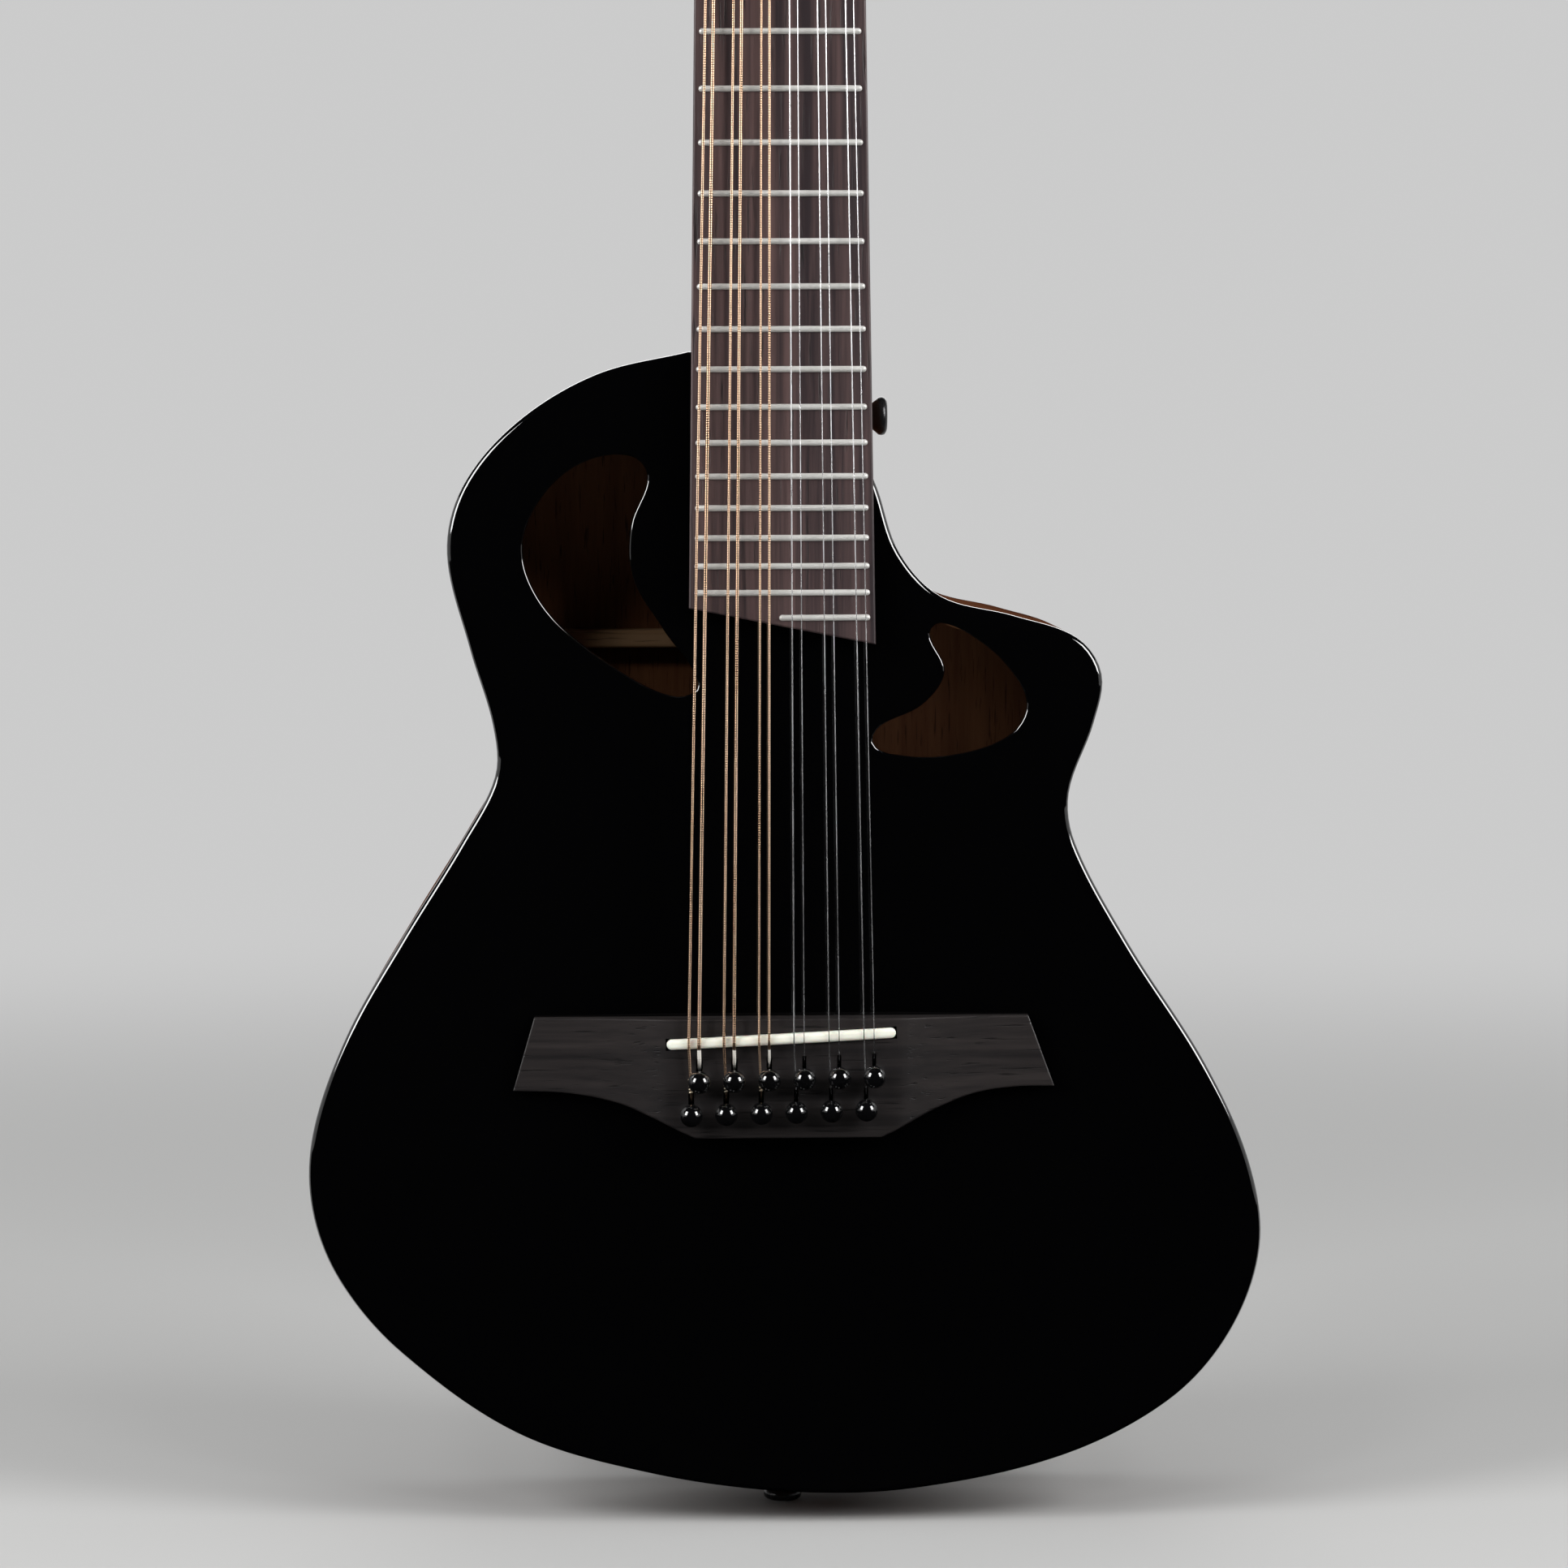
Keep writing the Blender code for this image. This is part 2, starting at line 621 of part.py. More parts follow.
def brace(name, ends, surface, outwards):
    """A bar on edge along a plate's inner face, surface(x, z). It is thin at its ends."""
    first, last = trimmed(ends)
    run = last - first
    stations = ((0.0, BRACE_TOE), (BRACE_RAMP, BRACE_HEIGHT), (0.5, BRACE_HEIGHT),
                (1 - BRACE_RAMP, BRACE_HEIGHT), (1.0, BRACE_TOE))
    foot, crest = [], []
    for share, height in stations:
        spot = first + run * share
        y = surface(spot.x, spot.y)
        foot.append((run.length * share, y + BRACE_SINK * outwards))
        crest.append((run.length * share, y - height * outwards))
    along = run.normalized()
    axes = Matrix(((along.x, 0, -along.y), (0, 1, 0), (along.y, 0, along.x))).to_4x4()
    place = Matrix.Translation((first.x, 0.0, first.y)) @ axes
    return tool(slab(name, [foot + crest[::-1]], -BRACE_WIDTH / 2, BRACE_WIDTH / 2, place))


def bridge_plate():
    """Hard wood under the bridge, which the ball ends of the strings pull against."""
    heights = [SADDLE_Z + z for x, z in BRIDGE_OUTLINE]
    low, high = min(heights), max(heights)
    middle = (0.0, (TOP_BACK_Y - BRACE_SINK + PLATE_BACK_Y) / 2, (low + high) / 2)
    size = (2 * BRIDGE_BLOCK_HALF, BRIDGE_PLATE_THICKNESS + BRACE_SINK, high - low)
    return tool(boxes("bridge_plate", [(middle, size)]))


def make_soundboard():
    holes = [raised(smooth(hole, HOLE_STEP, closed=True))
             for hole in (BASS_SOUND_HOLE, TREBLE_SOUND_HOLE)]
    top = front_slab("soundboard", [body_outline(), *holes], FRONT_Y, TOP_BACK_Y)
    for number, ends in enumerate(TOP_BRACES, 1):
        combine(top, brace(f"top_brace_{number}", ends, lambda x, z: TOP_BACK_Y, -1), "UNION")
    combine(top, bridge_plate(), "UNION")
    combine(top, pin_hole_cutter("top_pin_holes"), "DIFFERENCE")
    combine(top, notch_cutter("top_notches"), "DIFFERENCE")
    return keep(top, black_lacquer())


def back_shell(name, near, far):
    """Curved solid between two depths in front of the back's outer surface."""
    columns, rows = BACK_GRID
    outline = body_outline()
    reach_x = max(abs(x) for x, z in outline) + OVERSHOOT
    low = min(z for x, z in outline) - OVERSHOOT
    high = max(z for x, z in outline) + OVERSHOOT
    bm = bmesh.new()
    sheets = []
    for depth in (near, far):
        sheet = []
        for i in range(columns + 1):
            x = reach_x * (2 * i / columns - 1)
            line = []
            for j in range(rows + 1):
                z = low + (high - low) * j / rows
                line.append(bm.verts.new((x, back_y(x, z) - depth, z)))
            sheet.append(line)
        sheets.append(sheet)
    for sheet in sheets:
        for i in range(columns):
            for j in range(rows):
                corners = (sheet[i][j], sheet[i + 1][j], sheet[i + 1][j + 1], sheet[i][j + 1])
                bm.faces.new(corners)
    outer, inner = sheets
    rim = [(i, 0) for i in range(columns)] + [(columns, j) for j in range(rows)]
    rim += [(i, rows) for i in range(columns, 0, -1)] + [(0, j) for j in range(rows, 0, -1)]
    for (i, j), (k, l) in zip(rim, rim[1:] + rim[:1]):
        bm.faces.new((outer[i][j], outer[k][l], inner[k][l], inner[i][j]))
    return tool(mesh_object(name, bm))


def make_back():
    behind = FRONT_Y + BODY_DEPTH + OVERSHOOT
    back = front_slab("back", [body_outline()], FRONT_Y + BODY_DEPTH / 2, behind)
    combine(back, back_shell("back_shell", 0.0, BACK_THICKNESS), "INTERSECT")
    for number, ends in enumerate(BACK_BRACES, 1):
        inner = brace(f"back_brace_{number}", ends, lambda x, z: back_y(x, z) - BACK_THICKNESS, 1)
        combine(back, inner, "UNION")
    return keep(back, mahogany())


def block_boxes():
    """Spaces that the neck block and the tail block fill, one box each."""
    neck_low = SADDLE_Z + SHOULDER_Z - NECK_BLOCK_LENGTH
    neck_high = SADDLE_Z + SHOULDER_Z + OVERSHOOT
    neck_x = (NECK_BLOCK_BASS_X + NECK_BLOCK_TREBLE_X) / 2
    neck_width = NECK_BLOCK_TREBLE_X - NECK_BLOCK_BASS_X
    tail_low, tail_high = BUTTON_HEIGHT - OVERSHOOT, BUTTON_HEIGHT + TAIL_BLOCK_LENGTH
    depth = 2 * BODY_DEPTH + 4 * OVERSHOOT
    return [((neck_x, 0.0, (neck_low + neck_high) / 2), (neck_width, depth, neck_high - neck_low)),
            ((0.0, 0.0, (tail_low + tail_high) / 2),
             (2 * TAIL_BLOCK_HALF_WIDTH, depth, tail_high - tail_low))]


def make_rim():
    """Sides with the linings and both end blocks, whose back edge follows the arch."""
    outline = body_outline()
    front, deep = TOP_BACK_Y + GAP, FRONT_Y + BODY_DEPTH
    rim = front_slab("rim", [outline], front, deep + OVERSHOOT / 2)
    blocks = tool(boxes("block_spaces", block_boxes()))
    wide = front_slab("rim_hollow", [inset(outline, SIDE_THICKNESS)],
                      front + LINING_HEIGHT, deep - BACK_THICKNESS - LINING_HEIGHT)
    narrow = front_slab("lining_hollow", [inset(outline, SIDE_THICKNESS + LINING_WIDTH)],
                        front - OVERSHOOT, deep + OVERSHOOT)
    for hollow in (wide, narrow):
        combine(hollow, blocks, "DIFFERENCE")
        combine(rim, tool(hollow), "DIFFERENCE")
    combine(rim, back_shell("rim_back_cut", -2 * OVERSHOOT, BACK_THICKNESS + GAP), "DIFFERENCE")
    return keep(rim, mahogany())


# Neck pieces

def neck_section(z, half_width, depth, cap_half_width):
    """U-shaped section: a flat front, and a back that narrows as the heel deepens."""
    points = []
    for i in range(NECK_ARC_STEPS + 1):
        t = pi * i / NECK_ARC_STEPS
        across, down = -cos(t), sin(t)
        width = half_width + (cap_half_width - half_width) * down**2
        full = abs(across) ** 0.75 * (1 if across > 0 else -1)
        points.append((width * full, FRONT_Y + depth * down**0.8, z))
    return points


def neck_shaft():
    joint = SADDLE_Z + SHOULDER_Z + GAP
    rings = []
    for number in range(HEEL_RINGS + 1):
        rise = number / HEEL_RINGS
        z = joint + HEEL_LENGTH * rise**1.6
        deep = SHAFT_DEPTH_HEEL + (HEEL_DEPTH - SHAFT_DEPTH_HEEL) * (1 - rise) ** 2.2
        half = board_half_width(z)
        cap = HEEL_CAP_HALF_WIDTH + (half - HEEL_CAP_HALF_WIDTH) * rise**0.8
        rings.append(neck_section(z, half, deep, cap))
    top = NUT_Z + NUT_THICKNESS + GAP
    start = rings[-1][0][2]
    for number in range(1, SHAFT_RINGS + 1):
        share = number / SHAFT_RINGS
        z = start + (top - start) * share
        deep = SHAFT_DEPTH_HEEL + (SHAFT_DEPTH_NUT - SHAFT_DEPTH_HEEL) * share
        rings.append(neck_section(z, board_half_width(z), deep, board_half_width(z)))
    return loft("neck", rings)


def head_matrix():
    """Headstock plane: local x, y, z are u, v, w."""
    tilt = HEAD_ANGLE
    origin = Vector((0.0, FRONT_Y + HEAD_STEP, NUT_Z + NUT_THICKNESS + GAP))
    axes = Matrix(((1, 0, 0), (0, sin(tilt), -cos(tilt)), (0, cos(tilt), sin(tilt))))
    return Matrix.Translation(origin) @ axes.to_4x4()


def post_place(index):
    """Side (-1 bass, 1 treble), u and v of a string's post. Outer strings use the nearest."""
    side = -1 if index < COURSES else 1
    row = index if side < 0 else len(STRING_DIAMETERS) - 1 - index
    return side, side * POST_OFFSET_U, FIRST_POST_V + POST_PITCH * row


def head_outline():
    """Half of the headstock's outline, mirrored: a flared neck end and a softly arched top."""
    foot = board_half_width(NUT_Z)
    flare = HEAD_HALF_WIDTH - foot
    half = [(foot, -HEAD_SINK)]
    for share, rise in HEAD_FLARE:
        half.append((foot + flare * share, HEAD_FLARE_V * rise))
    shoulder = HEAD_LENGTH - HEAD_CROWN
    corner = HEAD_HALF_WIDTH - HEAD_CORNER
    half += [(HEAD_HALF_WIDTH, shoulder - HEAD_CORNER), (corner, shoulder)]
    for i in range(1, HEAD_CROWN_STEPS):
        share = 1 - i / HEAD_CROWN_STEPS
        half.append((corner * share, HEAD_LENGTH - HEAD_CROWN * share**2))
    mirrored = [(-u, v) for u, v in reversed(half)]
    return half + [(0.0, HEAD_LENGTH)] + mirrored


def post_holes(name, front_w, back_w, places):
    """Holes that the posts turn in, from front_w to back_w in the headstock's own frame."""
    radius = hole_radius(POST_RADIUS, POST_SIDES)
    items = [(Matrix.Translation((u, v, (front_w + back_w) / 2)), radius, radius, front_w - back_w)
             for u, v in places]
    return tool(cones(name, items, POST_SIDES, head_matrix()))


def make_neck():
    neck = neck_shaft()
    head = slab("headstock_plate", [head_outline()], -HEAD_THICKNESS, 0.0, head_matrix())
    combine(neck, tool(head), "UNION")
    places = [post_place(index)[1:] for index in range(len(STRING_DIAMETERS))]
    holes = post_holes("head_post_holes", OVERSHOOT / 2, -HEAD_THICKNESS - OVERSHOOT / 2, places)
    combine(neck, holes, "DIFFERENCE")
    return keep(neck, mahogany())


def board_section(z):
    half = board_half_width(z)
    arc = []
    for i in range(BOARD_FACETS + 1):
        x = half * (2 * i / BOARD_FACETS - 1)
        arc.append((x, BOARD_TOP_Y + board_drop(x), z))
    return [(-half, FRONT_Y - GAP, z), *arc, (half, FRONT_Y - GAP, z)]


def board_end_z(x):
    """The board's slanted end."""
    middle = NUT_Z - LAST_FRET_RUN + (BOARD_END_BASS_RISE - BOARD_END_TREBLE_FALL) / 2
    return middle + BOARD_END_SLOPE * x


def fret_ends(z):
    """x of both ends of a fret, which stops short of the board's edges and slanted end."""
    right = board_half_width(z) - FRET_INSET
    margin = FRET_INSET + FRET_RADIUS
    end_x = (z - margin - board_end_z(0.0)) / BOARD_END_SLOPE
    return max(-right, end_x), right


def make_fretboard():
    low = board_end_z(LAST_FRET_WIDTH) - OVERSHOOT
    board = loft("fretboard", [board_section(low), board_section(NUT_Z - GAP / 2)])
    bm = bmesh.new()
    bm.from_mesh(board.data)
    across = Vector((1.0, 0.0, BOARD_END_SLOPE))
    outwards = across.cross(Vector((0.0, 1.0, 0.0)))
    cut = bmesh.ops.bisect_plane(bm, geom=bm.verts[:] + bm.edges[:] + bm.faces[:],
                                 plane_co=(0.0, 0.0, board_end_z(0.0)), plane_no=outwards,
                                 clear_inner=True)
    rim = [item for item in cut["geom_cut"] if isinstance(item, bmesh.types.BMEdge)]
    bmesh.ops.edgenet_fill(bm, edges=rim)
    bm.to_mesh(board.data)
    bm.free()
    combine(board, tool(all_frets()), "UNION")
    return keep(board, rosewood())


def all_frets():
    """Every fret as a crowned bar half sunk in the board, in one object."""
    bm = bmesh.new()
    for number in range(1, FRET_COUNT + 1):
        z = SADDLE_Z + SCALE_LENGTH * 2 ** (-number / 12)
        left, right = fret_ends(z)
        points = []
        for i in range(BOARD_FACETS + 1):
            x = left + (right - left) * i / BOARD_FACETS
            points.append((x, BOARD_TOP_Y + board_drop(x) - FRET_HEIGHT + FRET_RADIUS, z))
        bar = meshed(tube(f"fret_{number}", points, FRET_RADIUS))
        bm.from_mesh(bar.data)
        bpy.data.objects.remove(bar)
    return mesh_object("frets", bm, rounded=True)


def make_nut():
    half = NUT_WIDTH / 2
    top = []
    for i in range(CROWN_STEPS + 1):
        x = half * (1 - 2 * i / CROWN_STEPS)
        top.append((x, string_foot_at_nut(x) - NUT_PROUD))
    outline = [(-half, FRONT_Y - GAP), (half, FRONT_Y - GAP), *top]
    nut = slab("nut", [outline], NUT_Z + GAP / 2, NUT_Z + GAP / 2 + NUT_THICKNESS)
    cuts = []
    for index, diameter in enumerate(STRING_DIAMETERS):
        x = nut_x(index)
        floor = string_foot_at_nut(x) + GAP
        cuts.append(((x, floor - NUT_THICKNESS / 2, NUT_Z + NUT_THICKNESS / 2),
                     (diameter + 2 * GAP, NUT_THICKNESS, 2 * NUT_THICKNESS)))
    combine(nut, tool(boxes("nut_slots", cuts)), "DIFFERENCE")
    return keep(nut, bone())


# Bridge pieces

def pin_hole_cutter(name):
    """Tapered holes for the pins through the bridge, the soundboard and its plate."""
    depth = PLATE_BACK_Y - BRIDGE_TOP_Y
    taper = (PIN_RADIUS - PIN_END_RADIUS) / depth * CUT_BELOW
    wide = hole_radius(PIN_RADIUS + taper, PIN_SIDES)
    narrow = hole_radius(PIN_END_RADIUS, PIN_SIDES)
    items = []
    for index in range(len(STRING_DIAMETERS)):
        x, z = pin_place(index)
        middle = Matrix.Translation((x, (BRIDGE_TOP_Y + PLATE_BACK_Y) / 2, z))
        place = middle @ Matrix.Rotation(-pi / 2, 4, "X")
        items.append((place, wide, narrow, depth + 2 * CUT_BELOW))
    return tool(cones(name, items, PIN_SIDES))


def notch_cutter(name):
    """A notch in front of each pin: a ramp in the bridge's top, then straight down."""
    bm = bmesh.new()
    for index, diameter in enumerate(STRING_DIAMETERS):
        x, z = pin_place(index)
        wall = z + PIN_TO_STRING + diameter / 2 + GAP
        above, below = BRIDGE_TOP_Y - CUT_BELOW, PLATE_BACK_Y + CUT_BELOW
        outline = [(z, above), (z + NOTCH_REACH, above), (z + NOTCH_REACH, BRIDGE_TOP_Y),
                   (wall, BRIDGE_TOP_Y + NOTCH_DEPTH), (wall, below), (z, below)]
        half = diameter / 2 + GAP
        rings = [[(side, y, height) for height, y in outline] for side in (x - half, x + half)]
        piece = loft("notch", rings)
        bm.from_mesh(piece.data)
        bpy.data.objects.remove(piece)
    return tool(mesh_object(name, bm))


def scoop_cutter():
    """What is taken off both wings of the bridge, a hollow curve down to thin tips."""
    bm = bmesh.new()
    tip = max(abs(x) for x, z in BRIDGE_OUTLINE)
    heights = [SADDLE_Z + z for x, z in BRIDGE_OUTLINE]
    low, high = min(heights) - OVERSHOOT, max(heights) + OVERSHOOT
    above = BRIDGE_TOP_Y - OVERSHOOT
    for side in (-1, 1):
        curve = [(side * (tip + OVERSHOOT), above), (side * BRIDGE_BLOCK_HALF, above)]
        for i in range(BRIDGE_SCOOP_STEPS + 1):
            share = i / BRIDGE_SCOOP_STEPS
            x = BRIDGE_BLOCK_HALF + (tip - BRIDGE_BLOCK_HALF) * share
            fall = (1 - share) ** BRIDGE_SCOOP_POWER
            height = BRIDGE_TIP_HEIGHT + (BRIDGE_HEIGHT - BRIDGE_TIP_HEIGHT) * fall
            curve.append((side * x, BRIDGE_FOOT_Y - height))
        curve.append((side * (tip + OVERSHOOT), BRIDGE_FOOT_Y - BRIDGE_TIP_HEIGHT))
        rings = [[(x, y, z) for x, y in curve] for z in (low, high)]
        piece = loft("scoop", rings)
        bm.from_mesh(piece.data)
        bpy.data.objects.remove(piece)
    return tool(mesh_object("bridge_scoops", bm))


def saddle_matrix():
    slope = atan2(SADDLE_TREBLE_Z - SADDLE_BASS_Z, SADDLE_LENGTH)
    place = Matrix.Translation((SADDLE_SHIFT, 0.0, saddle_centre_z(SADDLE_SHIFT)))
    return place @ Matrix.Rotation(-slope, 4, "Y")


def make_bridge():
    bridge = front_slab("bridge", [raised(BRIDGE_OUTLINE)], BRIDGE_TOP_Y, BRIDGE_FOOT_Y)
    combine(bridge, scoop_cutter(), "DIFFERENCE")
    slot_size = (SADDLE_LENGTH + 2 * GAP, 2 * SADDLE_SLOT_DEPTH, SADDLE_THICKNESS + 2 * GAP)
    slot = boxes("saddle_slot", [((0.0, BRIDGE_TOP_Y, 0.0), slot_size)], saddle_matrix())
    combine(bridge, tool(slot), "DIFFERENCE")
    combine(bridge, pin_hole_cutter("bridge_pin_holes"), "DIFFERENCE")
    combine(bridge, notch_cutter("bridge_notches"), "DIFFERENCE")
    return keep(bridge, dark_bridge_wood())


def make_saddle():
    half = SADDLE_LENGTH / 2
    floor = BRIDGE_TOP_Y + SADDLE_SLOT_DEPTH - GAP
    outline = [(-half, floor), (half, floor)]
    for i in range(CROWN_STEPS + 1):
        x = half * (1 - 2 * i / CROWN_STEPS)
        outline.append((x, string_foot_at_saddle(x + SADDLE_SHIFT) + GAP))
    saddle = slab("saddle", [outline], -SADDLE_THICKNESS / 2, SADDLE_THICKNESS / 2, saddle_matrix())
    soften(saddle, SADDLE_ROUNDING)
    return keep(saddle, bone())


def make_pins():
    """Ball-headed pins. Each ball stands clear of the string that passes under it."""
    depth = PLATE_BACK_Y - BRIDGE_TOP_Y
    profile = [(0.0, PIN_BALL_HEIGHT + PIN_BALL_RADIUS)]
    for step in (50, 15, -20):
        radius = PIN_BALL_RADIUS * cos(radians(step))
        profile.append((radius, PIN_BALL_HEIGHT + PIN_BALL_RADIUS * sin(radians(step))))
    ball_foot = PIN_BALL_HEIGHT - sqrt(PIN_BALL_RADIUS**2 - PIN_NECK_RADIUS**2)
    shoulder = PIN_RADIUS - PIN_NECK_RADIUS
    profile += [(PIN_NECK_RADIUS, ball_foot), (PIN_NECK_RADIUS, shoulder), (PIN_RADIUS, 0.0),
                (PIN_END_RADIUS, -depth), (0.0, -depth - PIN_TAIL)]
    for index in range(len(STRING_DIAMETERS)):
        x, z = pin_place(index)
        place = Matrix.Translation((x, BRIDGE_TOP_Y, z)) @ Matrix.Rotation(pi / 2, 4, "X")
        pin = turned(f"bridge_pin_{index + 1:02d}", profile, PIN_SIDES, place)
        keep(pin, gloss_black_plastic())


# Strap buttons

def strap_button(name, matrix):
    """A turned button with its seat at the bottom and its flat face at the top."""
    profile = [(0.0, BUTTON_HEIGHT), (BUTTON_FACE_RADIUS, BUTTON_HEIGHT),
               (BUTTON_RADIUS, BUTTON_HEIGHT - 0.0012), (BUTTON_RADIUS, BUTTON_HEIGHT - 0.0028),
               (BUTTON_WAIST_RADIUS, BUTTON_HEIGHT - 0.0050), (BUTTON_WAIST_RADIUS, 0.0030),
               (BUTTON_SEAT_RADIUS, 0.0008), (BUTTON_SEAT_RADIUS, 0.0), (0.0, 0.0)]
    keep(turned(name, profile, BUTTON_SIDES, matrix), black_metal())


def make_strap_buttons():
    down = Matrix.Translation((0.0, 0.0, BUTTON_HEIGHT)) @ Matrix.Rotation(pi, 4, "X")
    strap_button("strap_button_tail", down)
    place = Matrix.Translation((CUTAWAY_WALL_X + GAP, 0.0, SADDLE_Z + HEEL_BUTTON_Z))
    strap_button("strap_button_heel", place @ Matrix.Rotation(pi / 2, 4, "Y"))


# Tuners

def wheel_ring(w, twist):
    """One face of the worm wheel: trapezoid teeth with a space that faces the worm."""
    pitch = 2 * pi / WHEEL_TEETH
    tooth = (WORM_LEAD / 2 - TOOTH_SPACE) / WHEEL_PITCH_RADIUS
    tip = WHEEL_PITCH_RADIUS + WHEEL_TIP
    root = WHEEL_PITCH_RADIUS - WHEEL_ROOT
    ring = []
    for number in range(WHEEL_TEETH):
        middle = -pi / 2 + pitch * (number + 0.5) + twist
        foot, crest = TOOTH_FOOT / 2, TOOTH_TIP / 2
        for radius, share in ((root, -foot), (tip, -crest), (tip, crest), (root, foot)):
            angle = middle + share * tooth
            ring.append((radius * cos(angle), radius * sin(angle), w))
    return ring


def post_mesh(side):
    """Post with its worm wheel. Its axis is local z, and the headstock's face is at z = 0."""
    low, high = WORM_W - WHEEL_THICKNESS / 2, WORM_W + WHEEL_THICKNESS / 2
    step = POST_RADIUS - POST_WAIST_RADIUS
    crown = POST_HOLE_HEIGHT + POST_HEAD_FOOT
    foot = (low + high) / 2
    profile = [(0.0, POST_HEIGHT), (POST_RADIUS, POST_HEIGHT), (POST_RADIUS, crown + step),
               (POST_WAIST_RADIUS, crown), (POST_WAIST_RADIUS, POST_WAIST_FOOT),
               (POST_RADIUS, POST_WAIST_FOOT - step), (POST_RADIUS, foot), (0.0, foot)]
    post = turned("post", profile, POST_SIDES, Matrix())
    lean = -side * WORM_LEAD / (2 * pi * WORM_PITCH_RADIUS) / WHEEL_PITCH_RADIUS
    rings = [wheel_ring(w, lean * (w - WORM_W)) for w in (low, high)]
    combine(post, tool(loft(f"wheel_{side}", rings)), "UNION")
    across = Matrix.Translation((0.0, 0.0, POST_HOLE_HEIGHT)) @ Matrix.Rotation(pi / 2, 4, "Y")
    bore = (across, POST_HOLE_RADIUS, POST_HOLE_RADIUS, 4 * POST_RADIUS)
    hole = cones(f"string_hole_{side}", [bore], 6)
    combine(post, tool(hole), "DIFFERENCE")
    return frozen(post)


def worm_thread(side):
    """The worm's single thread about the x axis, with a ridge that faces the wheel at x = 0."""
    width = WORM_LEAD / 2 - TOOTH_SPACE
    sunk = SHAFT_RADIUS * THREAD_SINK
    foot, crest = width * THREAD_FOOT / 2, width * THREAD_TIP / 2
    section = ((sunk, -foot), (WORM_TIP_RADIUS, -crest), (WORM_TIP_RADIUS, crest), (sunk, foot))
    rings = []
    steps = round(WORM_TURNS * WORM_STEPS)
    for i in range(steps + 1):
        turn = WORM_TURNS * (i / steps - 0.5)
        angle = 2 * pi * turn
        advance = -side * WORM_LEAD * turn
        rings.append([(advance + along, radius * cos(angle), radius * sin(angle))
                      for radius, along in section])
    return loft(f"worm_thread_{side}", rings)


def button_ring(x, half_v, half_w):
    ring = []
    for i in range(KNOB_SIDES):
        angle = 2 * pi * (i + 0.5) / KNOB_SIDES
        ring.append((x, half_v * cos(angle), half_w * sin(angle)))
    return ring


def button_mesh(side):
    """Worm, shaft and knob in one turning piece along x, with the post's axis at x = 0."""
    collar = EAR_OFFSET + EAR_THICKNESS / 2 + RUNNING_GAP
    start = -EAR_OFFSET - EAR_THICKNESS
    stations = [(start, SHAFT_RADIUS, SHAFT_RADIUS), (collar, SHAFT_RADIUS, SHAFT_RADIUS),
                (collar + RUNNING_GAP, COLLAR_RADIUS, COLLAR_RADIUS),
                (KNOB_START, COLLAR_RADIUS, COLLAR_RADIUS)]
    for share, width in KNOB_SHAPE:
        depth = KNOB_FLATNESS + (1 - KNOB_FLATNESS) * width
        stations.append((KNOB_START + KNOB_LENGTH * share, KNOB_HALF_WIDTH * width,
                         KNOB_HALF_THICKNESS * depth))
    rings = [button_ring(side * x, half_v, half_w) for x, half_v, half_w in stations]
    button = loft("button", rings)
    combine(button, tool(worm_thread(side)), "UNION")
    return frozen(button)


def make_tuners():
    """Twelve posts and twelve buttons. The two sides are mirror images of each other."""
    posts = {side: post_mesh(side) for side in (-1, 1)}
    buttons = {side: button_mesh(side) for side in (-1, 1)}
    head = head_matrix()
    for index in range(len(STRING_DIAMETERS)):
        side, u, v = post_place(index)
        post = bpy.data.objects.new(f"tuner_post_{index + 1:02d}", posts[side])
        post.matrix_world = head @ Matrix.Translation((u, v, 0.0))
        keep(post, chrome())
        button = bpy.data.objects.new(f"tuner_button_{index + 1:02d}", buttons[side])
        button.matrix_world = head @ Matrix.Translation((u, v - CENTRE_DISTANCE, WORM_W))
        keep(button, chrome())


def make_tuner_plate(side, name):
    """One long plate with an ear on each side of every worm, and a hole for every post."""
    rows = [FIRST_POST_V + POST_PITCH * row for row in range(COURSES)]
    low = min(rows) - CENTRE_DISTANCE - TUNER_PLATE_START
    high = max(rows) + TUNER_PLATE_END
    inner, outer = POST_OFFSET_U - TUNER_PLATE_INSIDE, POST_OFFSET_U + TUNER_PLATE_OUTSIDE
    corners = [(side * inner, low), (side * outer, low), (side * outer, high), (side * inner, high)]
    plate = slab(name, [corners], PLATE_BACK_W, PLATE_BACK_W + TUNER_PLATE_THICKNESS, head_matrix())
    ears, bores = [], []
    radius = hole_radius(SHAFT_RADIUS, EAR_BORE_SIDES)
    ear_back = WORM_W - radius - EAR_WALL
    depth = PLATE_BACK_W + TUNER_PLATE_THICKNESS / 4 - ear_back
    for v in rows:
        for offset in (-EAR_OFFSET, EAR_OFFSET):
            middle = (side * POST_OFFSET_U + offset, v - CENTRE_DISTANCE, ear_back + depth / 2)
            ears.append((middle, (EAR_THICKNESS, 2 * EAR_HALF_WIDTH, depth)))
        place = Matrix.Translation((side * POST_OFFSET_U, v - CENTRE_DISTANCE, WORM_W))
        bores.append((place @ Matrix.Rotation(pi / 2, 4, "Y"), radius, radius, 4 * EAR_OFFSET))
    combine(plate, tool(boxes(f"{name}_ears", ears, head_matrix())), "UNION")
    combine(plate, tool(cones(f"{name}_bores", bores, EAR_BORE_SIDES, head_matrix())), "DIFFERENCE")
    places = [(side * POST_OFFSET_U, v) for v in rows]
    front_w, back_w = PLATE_BACK_W + 2 * TUNER_PLATE_THICKNESS, PLATE_BACK_W - TUNER_PLATE_THICKNESS / 2
    combine(plate, post_holes(f"{name}_post_holes", front_w, back_w, places), "DIFFERENCE")
    return keep(plate, chrome())


# Strings

